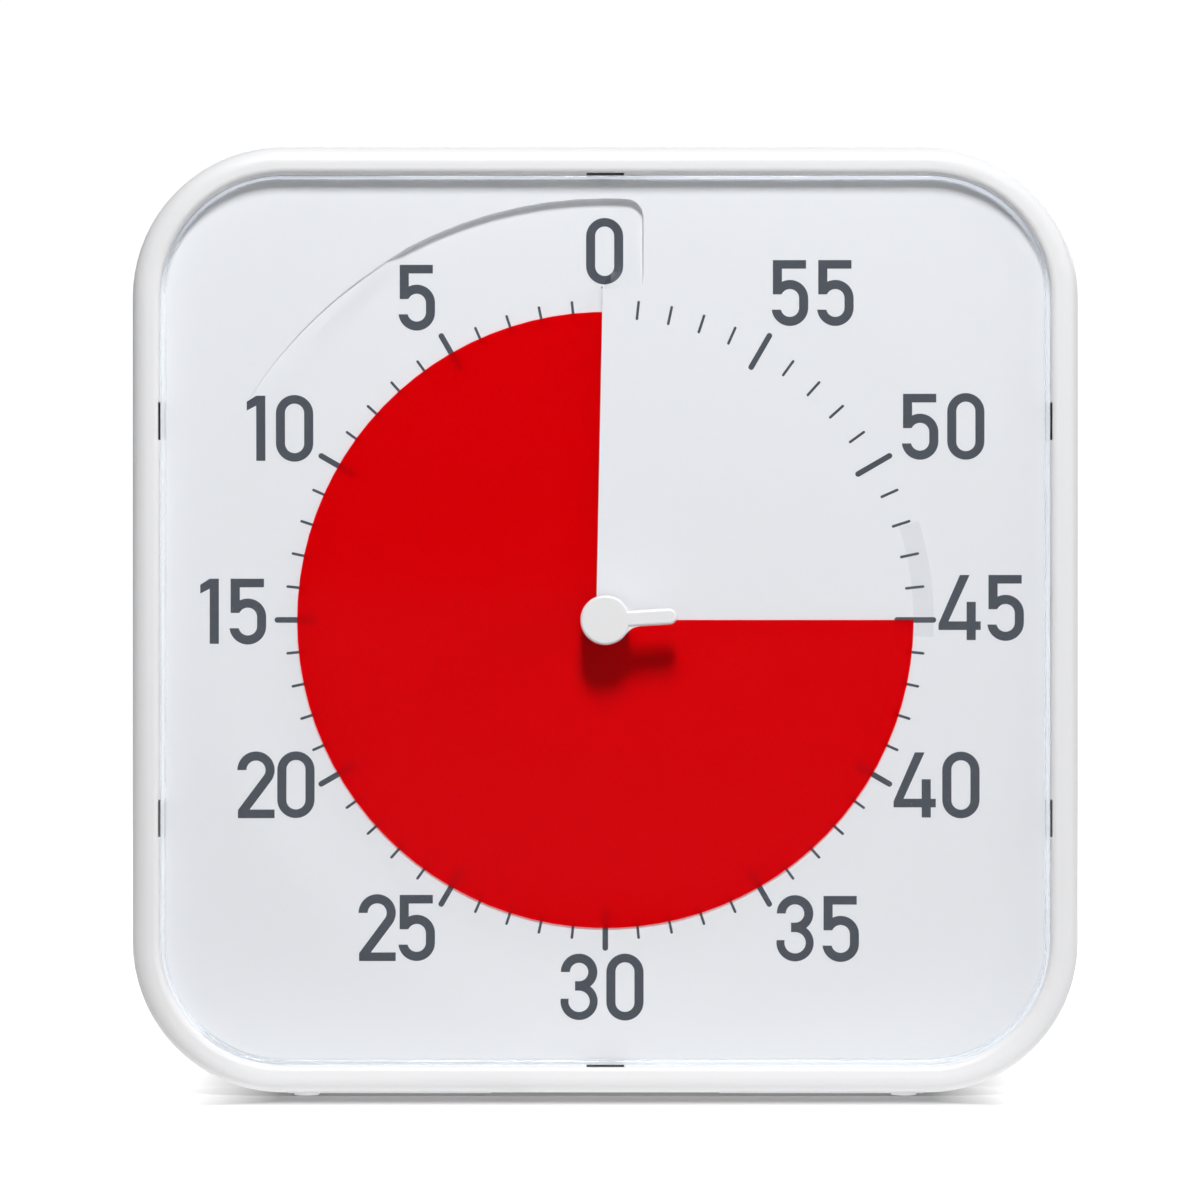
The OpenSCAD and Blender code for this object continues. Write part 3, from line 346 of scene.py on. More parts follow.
def digit_2(x, y):
    half_w, half_h, upright, level = digit_box()
    slope = 36.7
    inner = half_w - upright
    centre = y + half_h - half_w
    foot = y - half_h
    lean = math.tan(math.radians(slope))
    side = Vector((math.cos(math.radians(slope)), -math.sin(math.radians(slope))))
    outer_end = Vector((x, centre)) + half_w * side
    inner_end = Vector((x, centre)) + inner * side
    pen = Pen("digit", x - half_w, centre)
    pen.arc(x, centre, -180 - slope)
    pen.line(outer_end.x - (outer_end.y - foot - level) * lean, foot + level)
    pen.line(x + half_w, foot + level)
    pen.line(x + half_w, foot)
    pen.line(x - half_w + 0.2, foot)
    pen.line(x - half_w + 0.2, inner_end.y - (inner_end.x - x + half_w - 0.2) / lean)
    pen.line(inner_end.x, inner_end.y)
    pen.arc(x, centre, 180 + slope)
    return pen.fill()


def digit_3(x, y):
    half_w, half_h, upright, _ = digit_box()
    upper = half_w - 0.1
    lower = half_w + 0.17
    high = y + half_h - upper
    low = y - half_h + lower
    notch = -52.0
    meet = Vector((x, high)) + upper * Vector((math.cos(math.radians(notch)), math.sin(math.radians(notch))))
    rise = math.degrees(math.atan2(meet.y - low, meet.x - x))
    reach = (meet - Vector((x, low))).length
    pen = Pen("digit", x - upper, high)
    pen.arc(x, high, -180 + notch)
    pen.line(x + reach * math.cos(math.radians(rise)), low + reach * math.sin(math.radians(rise)))
    pen.arc(x, low, -rise - 188)
    inner = lower - upright + 0.2
    terminal = pen.at.y
    pen.line(x - math.sqrt(inner ** 2 - (terminal - low) ** 2), terminal)
    start = math.degrees(math.atan2(terminal - low, pen.at.x - x)) % 360
    pen.arc(x, low, 450 - start)
    pen.line(x - 1.3, low + inner)
    bar = high - (upper - upright)
    pen.line(x - 1.3, bar)
    pen.line(x, bar)
    pen.arc(x, high, 270)
    return pen.fill()


def digit_4(x, y):
    half_w, half_h, upright, level = digit_box()
    top = half_h - FLAT_DROP
    left = x - half_w - 0.8
    right = x + half_w + 0.8
    stem_right = right - 1.6
    stem_left = stem_right - upright
    bar_top = y - top + 3.27 + level
    bar_foot = y - top + 3.27
    pen = Pen("digit", left + 6.9, y + top)
    pen.line(left, bar_top - 0.8)
    pen.line(left, bar_foot)
    pen.line(stem_left, bar_foot)
    pen.line(stem_left, y - top)
    pen.line(stem_right, y - top)
    pen.line(stem_right, bar_foot)
    pen.line(right, bar_foot)
    pen.line(right, bar_top)
    pen.line(stem_right, bar_top)
    pen.line(stem_right, bar_top + 6.3)
    pen.line(stem_left, bar_top + 6.3)
    pen.line(stem_left, bar_top)
    pen.line(left + 3.2, bar_top)
    pen.line(left + 10.0, y + top)
    return pen.fill()


def digit_5(x, y):
    half_w, half_h, upright, level = digit_box()
    outer = half_w - 0.1
    inner = outer - upright
    low = y - half_h + outer
    high = low + 3.05
    left = x - half_w + 0.5
    top = y + half_h - FLAT_DROP
    stem = left + upright
    join = 25.0
    shoulder = high + math.sqrt(outer ** 2 - (stem - x) ** 2)
    terminal = low - 0.64
    pen = Pen("digit", x - math.sqrt(outer ** 2 - (terminal - low) ** 2), terminal)
    pen.line(x - math.sqrt(inner ** 2 - (terminal - low) ** 2), terminal)
    drop = math.degrees(math.atan2(low - terminal, x - pen.at.x))
    pen.arc(x, low, 180 - drop)
    pen.line(x + inner, high)
    pen.arc(x, high, 180 - join)
    foot = pen.at.y
    pen.line(left, foot)
    pen.line(left, top)
    pen.line(x + half_w - 0.8, top)
    pen.line(x + half_w - 0.8, top - level)
    pen.line(stem, top - level)
    pen.line(stem, shoulder)
    turn = math.degrees(math.atan2(shoulder - high, stem - x))
    pen.arc(x, high, -turn)
    pen.line(x + outer, low)
    pen.arc(x, low, -180 + math.degrees(math.asin((low - terminal) / outer)))
    return pen.fill()


# For each digit: how it is drawn, how wide it is and the gap after it, in mm
DIGITS = {
    "0": (digit_0, 12.0, 2.0), "1": (digit_1, 5.97, 3.4), "2": (digit_2, 12.0, 0.85),
    "3": (digit_3, 12.2, 2.7), "4": (digit_4, 13.6, 2.1), "5": (digit_5, 11.8, 2.85),
}


def draw_number(text, x, y):
    """Draws a number's digits side by side about a point."""
    shapes = [DIGITS[digit] for digit in text]
    left = x - (sum(width + gap for _, width, gap in shapes) - shapes[-1][2]) / 2
    pieces = []
    for draw, width, gap in shapes:
        pieces.append(draw(left + width / 2, y))
        left += width + gap
    return pieces


def lay_print(piece, dial, ink):
    """Turns flat outlines into inlays that follow the dial and stand proud of it by the ink's thickness."""
    edit(piece)
    bpy.ops.mesh.extrude_region_move(TRANSFORM_OT_translate={"value": (0, INLAY_REACH, 0)})
    bpy.ops.mesh.select_all(action="SELECT")
    bpy.ops.mesh.normals_make_consistent(inside=False)
    leave()
    pick(dial)
    bpy.ops.object.duplicate()
    raised = bpy.context.object
    edit(raised)
    bpy.ops.transform.translate(value=(0, -ink, 0))
    leave()
    apply(piece, "BOOLEAN", object=raised, operation="INTERSECT", solver="EXACT")
    pick(raised)
    bpy.ops.object.delete()
    pick(piece)
    bpy.ops.object.shade_smooth_by_angle(angle=math.radians(SHARP))


# ---------- Shader nodes ----------

MIX_SOCKETS = {"FLOAT": (2, 3, 0), "VECTOR": (4, 5, 1), "RGBA": (6, 7, 2)}


def feed(tree, socket, value):
    """Links a socket to another one, or gives it a value of its own."""
    if isinstance(value, bpy.types.NodeSocket):
        tree.links.new(value, socket)
    else:
        socket.default_value = value


def add(tree, kind, *values, **settings):
    """Adds a node. Values go to its inputs in turn. A setting with a capital sets the input of that name."""
    node = tree.nodes.new(kind)
    for name, value in settings.items():
        if not name[0].isupper():
            setattr(node, name, value)
    for socket, value in zip(node.inputs, values):
        feed(tree, socket, value)
    set_inputs(tree, node, **{name: value for name, value in settings.items() if name[0].isupper()})
    return node


def set_inputs(tree, node, **values):
    for name, value in values.items():
        feed(tree, node.inputs[name.replace("_", " ")], value)


def add_group(tree, group, **values):
    """Adds a node group and returns its outputs."""
    node = tree.nodes.new("ShaderNodeGroup")
    node.node_tree = group
    set_inputs(tree, node, **values)
    return node.outputs


def maths(tree, operation, *values):
    return add(tree, "ShaderNodeMath", *values, operation=operation).outputs[0]


def vectors(tree, operation, *values):
    return add(tree, "ShaderNodeVectorMath", *values, operation=operation).outputs["Vector"]


def fade(tree, value, start, end, low=0.0, high=1.0, **settings):
    """Goes from low to high while a value goes from start to end."""
    node = add(tree, "ShaderNodeMapRange", Value=value, From_Min=start, From_Max=end, To_Min=low, To_Max=high,
               **settings)
    return node.outputs["Result"]


def band(tree, value, start, full, last, end):
    """Rises from 0 to 1 between start and full, and falls back between last and end."""
    return maths(tree, "MULTIPLY", fade(tree, value, start, full), fade(tree, value, end, last))


def mixed(tree, kind, factor, a, b):
    """A Mix node's result: a at factor 0 and b at factor 1."""
    first, second, result = MIX_SOCKETS[kind]
    node = add(tree, "ShaderNodeMix", data_type=kind, Factor=factor)
    feed(tree, node.inputs[first], a)
    feed(tree, node.inputs[second], b)
    return node.outputs[result]


def right_and_up(tree, place, centre):
    """How far a place lies right of and above a centre."""
    axes = add(tree, "ShaderNodeSeparateXYZ", vectors(tree, "SUBTRACT", place, centre)).outputs
    return axes["X"], axes["Z"]


# ---------- Shader groups ----------


def shader_group(name, inputs, outputs):
    """Turns a function that wires a node group into one that gives the group, wired at the first call.

    Each input has its default, a number, vector or colour. Each output has its kind.
    """
    def decorate(wire):
        def group():
            tree = bpy.data.node_groups.get(name)
            if tree:
                return tree
            tree = bpy.data.node_groups.new(name, "ShaderNodeTree")
            for socket, default in inputs.items():
                kind = "Float" if isinstance(default, float) else {3: "Vector", 4: "Color"}[len(default)]
                made = tree.interface.new_socket(name=socket, in_out="INPUT", socket_type="NodeSocket" + kind)
                made.default_value = default
            for socket, kind in outputs.items():
                tree.interface.new_socket(name=socket, in_out="OUTPUT", socket_type="NodeSocket" + kind)
            given = add(tree, "NodeGroupInput").outputs
            place = add(tree, "ShaderNodeTexCoord").outputs["Object"]
            results = add(tree, "NodeGroupOutput").inputs
            for socket, value in wire(tree, given, place).items():
                feed(tree, results[socket], value)
            return tree
        group.__doc__ = wire.__doc__
        return group
    return decorate


@shader_group("Moulded Grain", {"Grain Scale": 2500.0, "Roughness": 0.4, "Spread": 0.06},
              {"Height": "Float", "Roughness": "Float"})
def moulded_grain(tree, given, place):
    """Fine tool marks of a moulded skin: a height and a roughness that vary over the surface."""
    scale = given["Grain Scale"]
    grain = add(tree, "ShaderNodeTexNoise", Vector=place, Scale=scale, Detail=3.0, Roughness=0.6)
    cells = add(tree, "ShaderNodeTexVoronoi", feature="SMOOTH_F1", Vector=place, Scale=scale)
    patches = add(tree, "ShaderNodeTexNoise", Vector=place, Scale=35.0, Detail=4.0)
    uneven = maths(tree, "SUBTRACT", patches.outputs["Fac"], 0.5)
    return {
        "Height": maths(tree, "MULTIPLY_ADD", cells.outputs["Distance"], 0.5, grain.outputs["Fac"]),
        "Roughness": maths(tree, "MULTIPLY_ADD", uneven, given["Spread"], given["Roughness"]),
    }


@shader_group("Colour Drift", {"Color": (0.8, 0.8, 0.8, 1), "Scale": 8.0, "Amount": 0.03}, {"Color": "Color"})
def colour_drift(tree, given, place):
    """Slow drift of a colour's brightness over a surface, as resin and ink have."""
    cloud = add(tree, "ShaderNodeTexNoise", Vector=place, Scale=given["Scale"], Detail=3.0).outputs["Fac"]
    value = maths(tree, "MULTIPLY_ADD", maths(tree, "SUBTRACT", cloud, 0.5), given["Amount"], 1.0)
    return {"Color": add(tree, "ShaderNodeHueSaturation", Value=value, Color=given["Color"]).outputs["Color"]}


@shader_group("Brushed Lines", {"Scale": 900.0}, {"Height": "Float"})
def brushed_lines(tree, given, place):
    """Height of the fine drawn lines on metal."""
    stretched = add(tree, "ShaderNodeMapping", Vector=place, Scale=(0.06, 1.0, 1.0)).outputs["Vector"]
    lines = add(tree, "ShaderNodeTexNoise", Vector=stretched, Scale=given["Scale"], Detail=2.0)
    return {"Height": lines.outputs["Fac"]}


@shader_group("Edge Distance", {"Centre": (0, 0, 0), "Half Width": 0.1, "Corner Radius": 0.02},
              {"Distance": "Float"})
def edge_distance(tree, given, place):
    """How far a point lies outside the bezel's opening, seen from the front. It's negative inside."""
    quarter = vectors(tree, "ABSOLUTE", vectors(tree, "SUBTRACT", place, given["Centre"]))
    flat = vectors(tree, "MULTIPLY", quarter, (1, 0, 1))
    straight = maths(tree, "SUBTRACT", given["Half Width"], given["Corner Radius"])
    straights = add(tree, "ShaderNodeCombineXYZ", X=straight, Z=straight).outputs["Vector"]
    corner = vectors(tree, "MAXIMUM", vectors(tree, "SUBTRACT", flat, straights))
    reach = add(tree, "ShaderNodeVectorMath", corner, operation="LENGTH").outputs["Value"]
    return {"Distance": maths(tree, "SUBTRACT", reach, given["Corner Radius"])}


@shader_group("Ramp Mask", {"Centre": (0, 0, 0)}, {"Mask": "Float"})
def ramp_mask(tree, given, place):
    """Where the sunk zone's floor runs out into the dial right of 0."""
    right, up = right_and_up(tree, place, given["Centre"])
    return {"Mask": maths(tree, "MULTIPLY", band(tree, right, *RAMP_RIGHT), band(tree, up, *RAMP_UP))}


@shader_group("Painted Rim Glint", {"Distance": 0.0, "Centre": (0, 0, 0), "Tint": (1, 1, 1, 1)}, {"Color": "Color"})
def rim_glint(tree, given, place):
    """Colour of the light that the upper part of the lens's raised rim catches."""
    _, up = right_and_up(tree, place, given["Centre"])
    mask = maths(tree, "MULTIPLY", band(tree, given["Distance"], *PAINTED_GLINT_LINE), fade(tree, up, *PAINTED_GLINT_UP))
    return {"Color": mixed(tree, "RGBA", mask, (0, 0, 0, 1), given["Tint"])}


# ---------- Finishes ----------


def blank(name):
    """A new material with its node tree and its Principled shader."""
    material = bpy.data.materials.new(name)
    material.use_nodes = True
    return material, material.node_tree, material.node_tree.nodes["Principled BSDF"]


def once(make):
    """Lets a function that makes a material give the one of that name if it's there already."""
    @functools.wraps(make)
    def made(name, *values, **settings):
        return bpy.data.materials.get(name) or make(name, *values, **settings)
    return made


def see_through(tree, shader, factor, clear):
    """Mixes a share of plain transparency into a material."""
    through = add(tree, "ShaderNodeBsdfTransparent", Color=(*clear, 1)).outputs["BSDF"]
    mix = add(tree, "ShaderNodeMixShader", factor, shader.outputs["BSDF"], through)
    feed(tree, tree.nodes["Material Output"].inputs["Surface"], mix.outputs["Shader"])


@once
def plastic(name, base, roughness=0.4, depth=0.00001, drift=0.03, subsurface=0.0):
    """Moulded plastic: colour drift, fine grain and uneven gloss."""
    material, tree, shader = blank(name)
    tint = add_group(tree, colour_drift(), Color=(*base, 1), Amount=drift)
    skin = add_group(tree, moulded_grain(), Roughness=roughness)
    bump = add(tree, "ShaderNodeBump", Strength=0.35, Distance=depth, Height=skin["Height"])
    set_inputs(tree, shader, Base_Color=tint["Color"], Roughness=skin["Roughness"], IOR=1.46,
               Normal=bump.outputs["Normal"])
    if subsurface:
        set_inputs(tree, shader, Subsurface_Weight=subsurface, Subsurface_Radius=(MM, MM, MM),
                   Subsurface_Scale=1.0)
    return material


@once
def metal(name, base, roughness=0.3, lines=900.0):
    """Drawn or plated metal with fine lines."""
    material, tree, shader = blank(name)
    tint = add_group(tree, colour_drift(), Color=(*base, 1), Scale=120.0, Amount=0.2)
    height = add_group(tree, brushed_lines(), Scale=lines)["Height"]
    bump = add(tree, "ShaderNodeBump", Strength=0.4, Distance=0.00001, Height=height)
    rough = fade(tree, height, 0.3, 0.7, roughness - 0.08, roughness + 0.1)
    set_inputs(tree, shader, Base_Color=tint["Color"], Roughness=rough, Metallic=1.0,
               Normal=bump.outputs["Normal"])
    return material


@once
def film(name, base, share, clear):
    """Thin film: a printed colour mixed with a share of what shows through it."""
    material, tree, shader = blank(name)
    tint = add_group(tree, colour_drift(), Color=(*base, 1), Amount=0.02)
    skin = add_group(tree, moulded_grain(), Grain_Scale=1500.0, Roughness=0.45, Spread=0.05)
    set_inputs(tree, shader, Base_Color=tint["Color"], Roughness=skin["Roughness"], IOR=1.3,
               Specular_IOR_Level=0.0)
    see_through(tree, shader, share, clear)
    return material


@once
def dial_plastic(name, base):
    """Dial sheet with even light where the sunk zone's floor runs out."""
    material = plastic(name, base, 0.5, depth=0.000006, drift=0.01)
    tree = material.node_tree
    normal = tree.nodes["Principled BSDF"].inputs["Normal"]
    level = add_group(tree, ramp_mask(), Centre=CENTRE)["Mask"]
    feed(tree, normal, mixed(tree, "VECTOR", level, normal.links[0].from_socket, (0, -1, 0)))
    return material


@once
def clear_lens(name, clear, pane=0.985, rim=0.4):
    """Clear moulded lens that lets the lamps' light through.

    Its rim refracts, and its tabs sit dark in their slots.
    """
    material, tree, shader = blank(name)
    tint = add_group(tree, colour_drift(), Color=(0.9, 0.95, 1.0, 1), Amount=0.01)["Color"]
    distance = add_group(tree, edge_distance(), Centre=CENTRE, Half_Width=OPENING_HALF,
                         Corner_Radius=OPENING_CORNER)["Distance"]
    # Painted highlight: the lens emits a faint bluish line along its upper rim, which fades in towards the
    # top.
    glint = add_group(tree, rim_glint(), Distance=distance, Centre=CENTRE, Tint=(0.55, 0.59, 0.67, 1))
    path = add(tree, "ShaderNodeLightPath").outputs
    unseen = maths(tree, "MAXIMUM", path["Is Shadow Ray"], path["Is Diffuse Ray"])
    # Painted shade: outside the opening the lens turns opaque and near-black, standing in for the shade deep
    # in the bezel's tab slots.
    in_opening = maths(tree, "LESS_THAN", distance, 0.0)
    plain = fade(tree, distance, -RIM_WIDTH - RIM_BLUR, -RIM_WIDTH, pane, rim)
    shown = maths(tree, "MULTIPLY", plain, in_opening)
    set_inputs(tree, shader, Base_Color=mixed(tree, "RGBA", in_opening, (0.012, 0.01, 0.008, 1), tint),
               Roughness=0.06, IOR=1.49, Transmission_Weight=1.0,
               Emission_Color=glint["Color"], Emission_Strength=1.0)
    see_through(tree, shader, fade(tree, unseen, 0.0, 1.0, shown, 1.0), clear)
    return material


def case_plastic():
    return plastic("Moulded Plastic", bpy.context.scene.timer_colours.case, 0.42)


def dark_plastic():
    return plastic("Dark Plastic", (0.03, 0.03, 0.034), 0.5)


def acetal():
    return plastic("Natural Plastic", (0.8, 0.8, 0.76), 0.35, subsurface=0.1)


def ferrite():
    return plastic("Sintered Ferrite", (0.05, 0.05, 0.052), 0.6)


def dial_ink():
    return plastic("Dial Ink", bpy.context.scene.timer_colours.ink, 0.5, drift=0.08)


def steel():
    return metal("Plated Steel", (0.55, 0.56, 0.58), 0.32)


def brass():
    return metal("Turned Brass", (0.6, 0.42, 0.16), 0.25)


# ---------- Stage ----------


def aim(piece, target):
    piece.rotation_euler = (Vector(target) - piece.location).to_track_quat("-Z", "Y").to_euler()


def softbox(name, place, size, power):
    """A rectangular lamp that faces the dial."""
    data = bpy.data.lights.new(name, "AREA")
    data.shape = "RECTANGLE"
    data.size, data.size_y = size
    data.energy = power
    lamp = bpy.data.objects.new(name, data)
    bpy.context.scene.collection.objects.link(lamp)
    lamp.location = place
    aim(lamp, (0, FACE_Y, CENTRE.z))


class TIMER_OT_camera(bpy.types.Operator):
    """Sets the camera square in front of the dial"""

    bl_idname = "timer.camera"
    bl_label = "Camera"

    def execute(self, context):
        stage = context.scene.timer_stage
        data = bpy.data.cameras.new("Camera")
        camera = bpy.data.objects.new("Camera", data)
        context.scene.collection.objects.link(camera)
        target = Vector((CENTRE.x + stage.aim_right, FACE_Y, CENTRE.z + stage.aim_up))
        camera.location = target - Vector((0, stage.camera_distance, 0))
        camera.rotation_euler = (math.radians(90), 0, 0)
        data.sensor_width = 36.0
        data.lens = data.sensor_width * stage.camera_distance / stage.view_width
        data.clip_start = 0.05
        context.scene.camera = camera
        return {"FINISHED"}


def seen_share(tree, path, mirror=1.0):
    """1 for what the camera sees straight or through glass, and a share of it for what it sees mirrored."""
    mirrored = path["Is Glossy Ray"]
    if mirror < 1:
        mirrored = maths(tree, "MULTIPLY", mirrored, mirror)
    seen = maths(tree, "MAXIMUM", path["Is Camera Ray"], path["Is Transmission Ray"])
    return maths(tree, "MAXIMUM", seen, mirrored)


def white_stage(floor_fill):
    """White paper that shows pure white to the camera and keeps the object's shadow."""
    material, tree, shader = blank("Stage Paper")
    path = add(tree, "ShaderNodeLightPath").outputs
    place = add(tree, "ShaderNodeTexCoord").outputs["Object"]
    axes = add(tree, "ShaderNodeSeparateXYZ", place).outputs
    in_front = fade(tree, axes["Y"], *reversed(GLOW_FRONT), 1.0, 0.0, interpolation_type="SMOOTHSTEP")
    behind = fade(tree, axes["Y"], *GLOW_BEHIND)
    beside = fade(tree, maths(tree, "ABSOLUTE", axes["X"]), *GLOW_BESIDE)
    clear = maths(tree, "MAXIMUM", maths(tree, "MAXIMUM", in_front, behind), beside)
    glow = maths(tree, "MULTIPLY", seen_share(tree, path), clear)
    lift = fade(tree, axes["Y"], FACE_Y - FLOOR_FILL_REACH, FACE_Y, 0.0, floor_fill)
    strength = maths(tree, "MULTIPLY_ADD", path["Is Diffuse Ray"], lift, glow)
    set_inputs(tree, shader, Base_Color=(0.32, 0.32, 0.32, 1), Roughness=0.9, Specular_IOR_Level=0.1,
               Emission_Color=(1, 1, 1, 1), Emission_Strength=strength)
    return material


def studio_world(fill_left, fill_right):
    """A room that looks white, is seen dimly in mirrors and gives hardly any light."""
    world = bpy.data.worlds.new("Studio")
    world.use_nodes = True
    tree = world.node_tree
    path = add(tree, "ShaderNodeLightPath").outputs
    place = add(tree, "ShaderNodeTexCoord").outputs["Generated"]
    axes = add(tree, "ShaderNodeSeparateXYZ", place).outputs
    light = fade(tree, axes["X"], -1.0, 1.0, fill_left, fill_right)
    strength = mixed(tree, "FLOAT", seen_share(tree, path, mirror=0.4), light, 1.05)
    set_inputs(tree, tree.nodes["Background"], Color=(0.97, 0.985, 1.0, 1), Strength=strength)
    return world


class TIMER_OT_stage(bpy.types.Operator):
    """Lays a white floor and lights the timer softly from above"""

    bl_idname = "timer.stage"
    bl_label = "Stage"

    def execute(self, context):
        stage = context.scene.timer_stage
        pick()
        bpy.ops.mesh.primitive_plane_add(size=FLOOR_SIZE, location=(0, 0, 0))
        floor = context.object
        floor.name = "stage_floor"
        floor.data.materials.append(white_stage(stage.floor_fill))

        context.scene.world = studio_world(stage.fill_left, stage.fill_right)
        softbox("Key", (0.05, FACE_Y - 1.4, CENTRE.z + 1.61), (0.4, 0.5), stage.key_power)
        softbox("Right Fill", (2.2, FACE_Y - 0.6, CENTRE.z + 0.5), (1.2, 1.6), stage.side_power)
        softbox("Bounce", (0.0, FACE_Y - 1.1, 0.02), (1.2, 0.3), stage.bounce_power)
        softbox("Back", (0.9, 1.5, CENTRE.z + 0.9), (1.0, 0.8), stage.back_power)
        return {"FINISHED"}


# ---------- Pieces ----------


class TIMER_OT_case(bpy.types.Operator):
    """Finishes the bezel, the rear cover and the battery door"""

    bl_idname = "timer.case"
    bl_label = "Case"

    def execute(self, context):
        reshape("front_bezel", "bezel_shell", case_plastic())
        reshape("rear_cover", "back_shell", case_plastic())
        reshape("battery_door", "battery_door_panel", case_plastic())
        return {"FINISHED"}


class TIMER_OT_lens(bpy.types.Operator):
    """Finishes the clear lens"""

    bl_idname = "timer.lens"
    bl_label = "Lens"

    def execute(self, context):
        reshape("lens", "lens_pane", clear_lens("Clear Lens", context.scene.timer_colours.lens))
        return {"FINISHED"}


class TIMER_OT_dial(bpy.types.Operator):
    """Smooths the dial's sheet and carries its sunk zone on to the left until it fades out"""

    bl_idname = "timer.dial"
    bl_label = "Dial"

    def fading_cut(self, sheet, sizes):
        """Cuts a shallow segment whose floor leans.

        Its wall is highest in the middle and fades to both ends.
        """
        middle = math.radians((sizes.fade_start + sizes.fade_end) / 2)
        chord = sizes.zone_radius * math.cos(math.radians((sizes.fade_end - sizes.fade_start) / 2))
        lean = math.atan(sizes.step / (sizes.zone_radius - chord))
        reach = 0.004
        outwards = Vector((-math.sin(middle), 0, math.cos(middle)))
        pick()
        bpy.ops.mesh.primitive_cylinder_add(
            vertices=720, radius=sizes.zone_radius, depth=reach, location=on_dial(0, 0),
            rotation=(math.radians(90), 0, 0))
        cutter = bpy.context.object
        bpy.ops.object.transform_apply(location=True, rotation=True, scale=True)
        pivot = on_dial(0, 0) + chord * outwards
        pivot.y = DIAL_Y
        along = outwards.cross(Vector((0, -1, 0)))
        floor = Matrix.Translation((0, DIAL_Y - FACE_Y - reach / 2, 0))
        turn = Matrix.Translation(pivot) @ Matrix.Rotation(-lean, 4, along) @ Matrix.Translation(-pivot)
        cutter.data.transform(turn @ floor)
        apply(sheet, "BOOLEAN", object=cutter, operation="DIFFERENCE", solver="EXACT")
        pick(cutter)
        bpy.ops.object.delete()
        smooth(sheet)

    def execute(self, context):
        colours = context.scene.timer_colours
        sheet = reshape("dial_face", "dial_sheet", dial_plastic("Dial Sheet", colours.dial))
        self.fading_cut(sheet, context.scene.timer_print)
        return {"FINISHED"}


class TIMER_OT_marks(bpy.types.Operator):
    """Prints the minute marks and the five minute marks"""

    bl_idname = "timer.marks"
    bl_label = "Minute Marks"

    def mark(self, name, angle, r_in, r_out, width):
        """One mark with round ends at an angle clockwise from the top, as a filled outline."""
        half = width / 2
        pen = Pen(name, half, r_in + half)
        pen.line(half, r_out - half)
        pen.arc(0, r_out - half, 180)
        pen.line(-half, r_in + half)
        pen.arc(0, r_in + half, 180)
        piece = pen.fill()
        turn = Matrix.Rotation(math.radians(angle), 4, "Y")
        middle = Matrix.Translation(on_dial(0, 0))
        piece.data.transform(middle @ turn @ middle.inverted())
        return piece

    def ring(self, name, marks, steps, turn):
        """Joins marks to one piece and repeats them round the knob's axis."""
        pick(*marks)
        if len(marks) > 1:
            bpy.ops.object.join()
        piece = bpy.context.object
        piece.name = name
        edit(piece)
        bpy.ops.mesh.spin(
            steps=steps, dupli=True, angle=math.radians(turn), center=on_dial(0, 0), axis=(0, -1, 0))
        leave()
        return piece

    def execute(self, context):
        sizes = context.scene.timer_print
        dial = bpy.data.objects["dial_sheet"]
        small = (sizes.minor_in / MM, sizes.minor_out / MM, sizes.minor_width / MM)
        large = (sizes.major_in / MM, sizes.major_out / MM, sizes.major_width / MM)
        minutes = [self.mark("mark", angle, *small) for angle in (6, 12, 18, 24)]
        minor = self.ring("minute_marks", minutes, 11, 330)
        major = self.ring("five_minute_marks", [self.mark("mark", 30, *large)], 10, 300)
        for piece in (minor, major):
            lay_print(piece, dial, sizes.ink)
            settle(piece, "case", dial_ink())
        return {"FINISHED"}


class TIMER_OT_numbers(bpy.types.Operator):
    """Prints the numbers from 0 to 55"""

    bl_idname = "timer.numbers"
    bl_label = "Numbers"

    def execute(self, context):
        sizes = context.scene.timer_print
        dial = bpy.data.objects["dial_sheet"]
        digits = []
        for minutes, (x, y) in NUMBER_PLACES.items():
            digits += draw_number(str(minutes), x, y)
        pick(*digits)
        bpy.ops.object.join()
        numbers = context.object
        numbers.name = "dial_numbers"
        lay_print(numbers, dial, sizes.ink)
        settle(numbers, "case", dial_ink())
        return {"FINISHED"}


class TIMER_OT_disc(bpy.types.Operator):
    """Finishes the red disc, its clear guide tab and its hub"""

    bl_idname = "timer.disc"
    bl_label = "Disc"

    def execute(self, context):
        red = context.scene.timer_colours.disc
        reshape("red_disc", "disc_film", film("Red Film", red, 0.72, (0.97, 0.0, 0.001)), sharp=40)
        clear = film("Clear Film", (0.8, 0.8, 0.82), 0.975, (0.993, 0.993, 0.996))
        reshape("guide_tab", "guide_film", clear, sharp=40)
        dress("disc_hub", acetal())
        return {"FINISHED"}


class TIMER_OT_knob(bpy.types.Operator):
    """Finishes the setting knob and the arbor"""

    bl_idname = "timer.knob"
    bl_label = "Knob"

    def execute(self, context):
        reshape("knob", "setting_knob", plastic("Knob Plastic", context.scene.timer_colours.case, 0.36))
        dress("arbor", brass())
        return {"FINISHED"}


class TIMER_OT_works(bpy.types.Operator):
    """Finishes the movement inside the case"""

    bl_idname = "timer.works"
    bl_label = "Movement"

    def execute(self, context):
        for node in ("movement_front", "movement_rear", "coil_bobbin", "buzzer", "switch_body"):
            dress(node, dark_plastic())
        for node in ("third_wheel", "seconds_wheel"):
            dress(node, acetal())
        for node in ("clutch_spring", "contact_positive", "contact_negative", "stator"):
            dress(node, steel())
        dress("centre_wheel", brass())
        dress("rotor", ferrite())
        dress("coil_winding", metal("Enamelled Copper", (0.62, 0.24, 0.1), 0.3, lines=4000.0))
        dress("circuit_board", plastic("Solder Mask", (0.01, 0.09, 0.035), 0.3))
        dress("drive_chip", plastic("Potting Resin", (0.012, 0.012, 0.013), 0.2))
        dress("quartz_crystal", metal("Tinned Can", (0.7, 0.7, 0.7), 0.2))
        dress("battery_cell", plastic("Cell Wrap", (0.02, 0.021, 0.024), 0.22, drift=0.1))
        return {"FINISHED"}


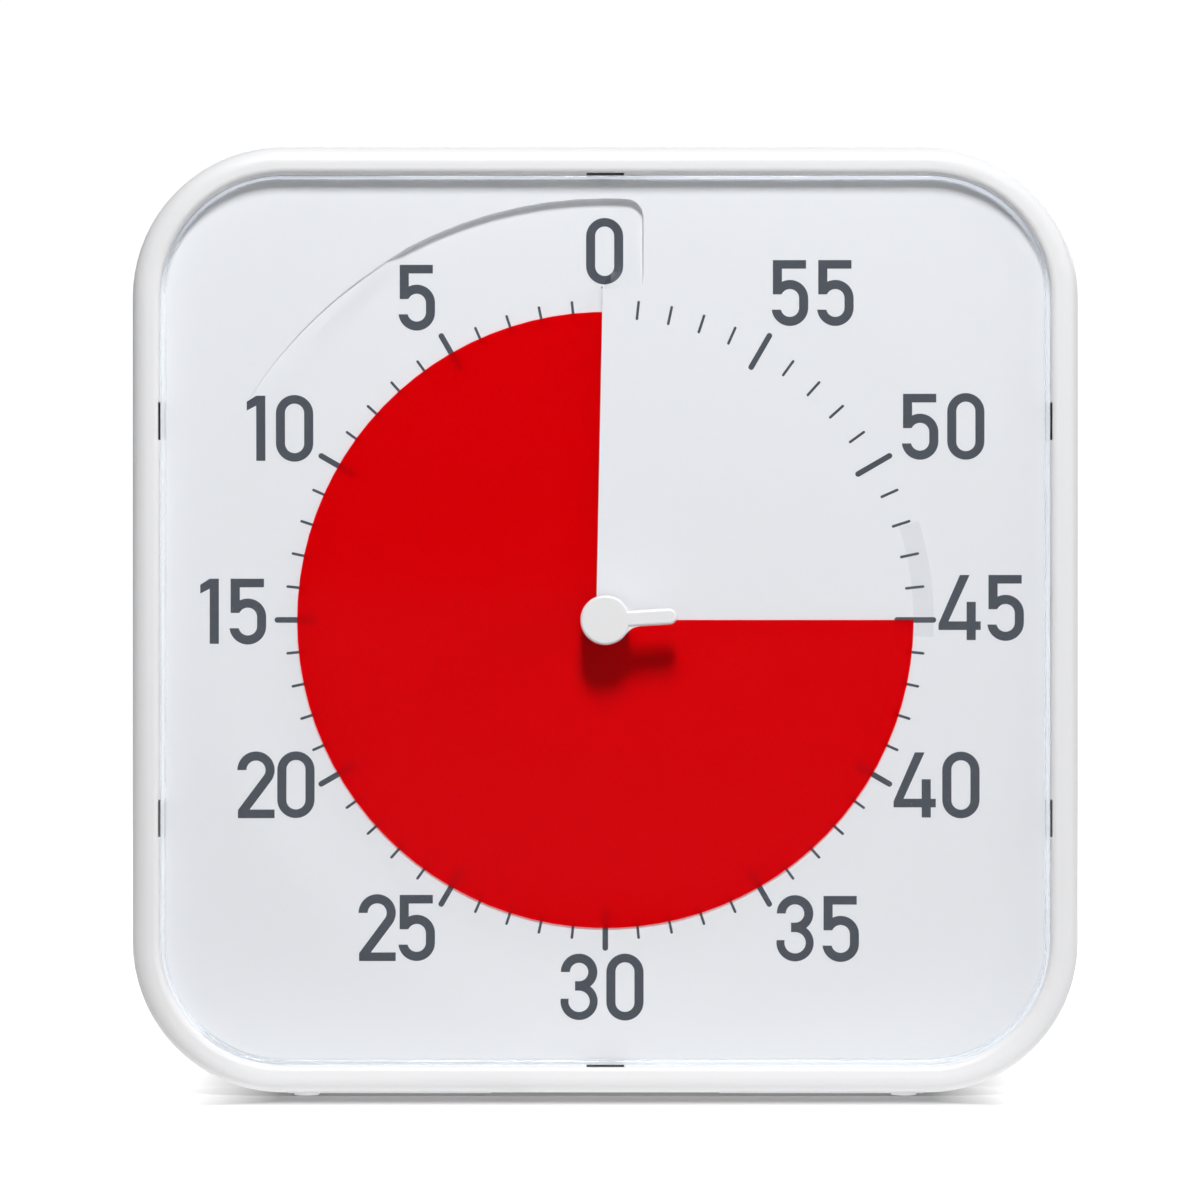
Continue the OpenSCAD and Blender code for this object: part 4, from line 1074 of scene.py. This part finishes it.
class TIMER_OT_hardware(bpy.types.Operator):
    """Finishes the screws, pins, magnets, feet and sound switch"""

    bl_idname = "timer.hardware"
    bl_label = "Hardware"

    def execute(self, context):
        reshape("case_screws", "case_screw_set", steel())
        dress("movement_screws", steel())
        reshape("foot_pins", "foot_pin_pair", steel())
        reshape("magnets", "back_magnets", ferrite())
        for side in ("left", "right"):
            reshape(f"foot_{side}", f"swing_foot_{side}", case_plastic())
        slider = plastic("Slider Plastic", context.scene.timer_colours.slider, 0.45)
        reshape("switch_slider", "sound_slider", slider)
        return {"FINISHED"}


class TIMER_PT_panel(bpy.types.Panel):
    """Lists the timer's steps, sizes and colours"""

    bl_label = "Visual Countdown Timer"
    bl_idname = "TIMER_PT_panel"
    bl_space_type = "VIEW_3D"
    bl_region_type = "UI"
    bl_category = "Timer"

    def draw(self, context):
        layout = self.layout
        for operator in OPERATORS:
            layout.operator(operator.bl_idname)
        for name, group in GROUPS.items():
            box = layout.box()
            box.label(text=group.__doc__)
            settings = getattr(context.scene, name)
            for prop in group.__annotations__:
                box.prop(settings, prop)


GROUPS = {"timer_print": TimerPrint, "timer_colours": TimerColours, "timer_stage": TimerStage}
OPERATORS = (
    TIMER_OT_camera, TIMER_OT_stage, TIMER_OT_case, TIMER_OT_lens, TIMER_OT_dial, TIMER_OT_marks,
    TIMER_OT_numbers, TIMER_OT_disc, TIMER_OT_knob, TIMER_OT_works, TIMER_OT_hardware,
)


def register():
    for group in (*GROUPS.values(), *OPERATORS, TIMER_PT_panel):
        bpy.utils.register_class(group)
    for name, group in GROUPS.items():
        setattr(bpy.types.Scene, name, PointerProperty(type=group))


def unregister():
    for name in GROUPS:
        delattr(bpy.types.Scene, name)
    for group in reversed((*GROUPS.values(), *OPERATORS, TIMER_PT_panel)):
        bpy.utils.unregister_class(group)


def main():
    """Makes the timer's visible pieces step by step and notes both boxes."""
    register()
    bpy.context.scene.view_settings.view_transform = "Standard"
    for operator in OPERATORS:
        family, step = operator.bl_idname.split(".")
        getattr(getattr(bpy.ops, family), step)()


if __name__ == "__main__":
    main()
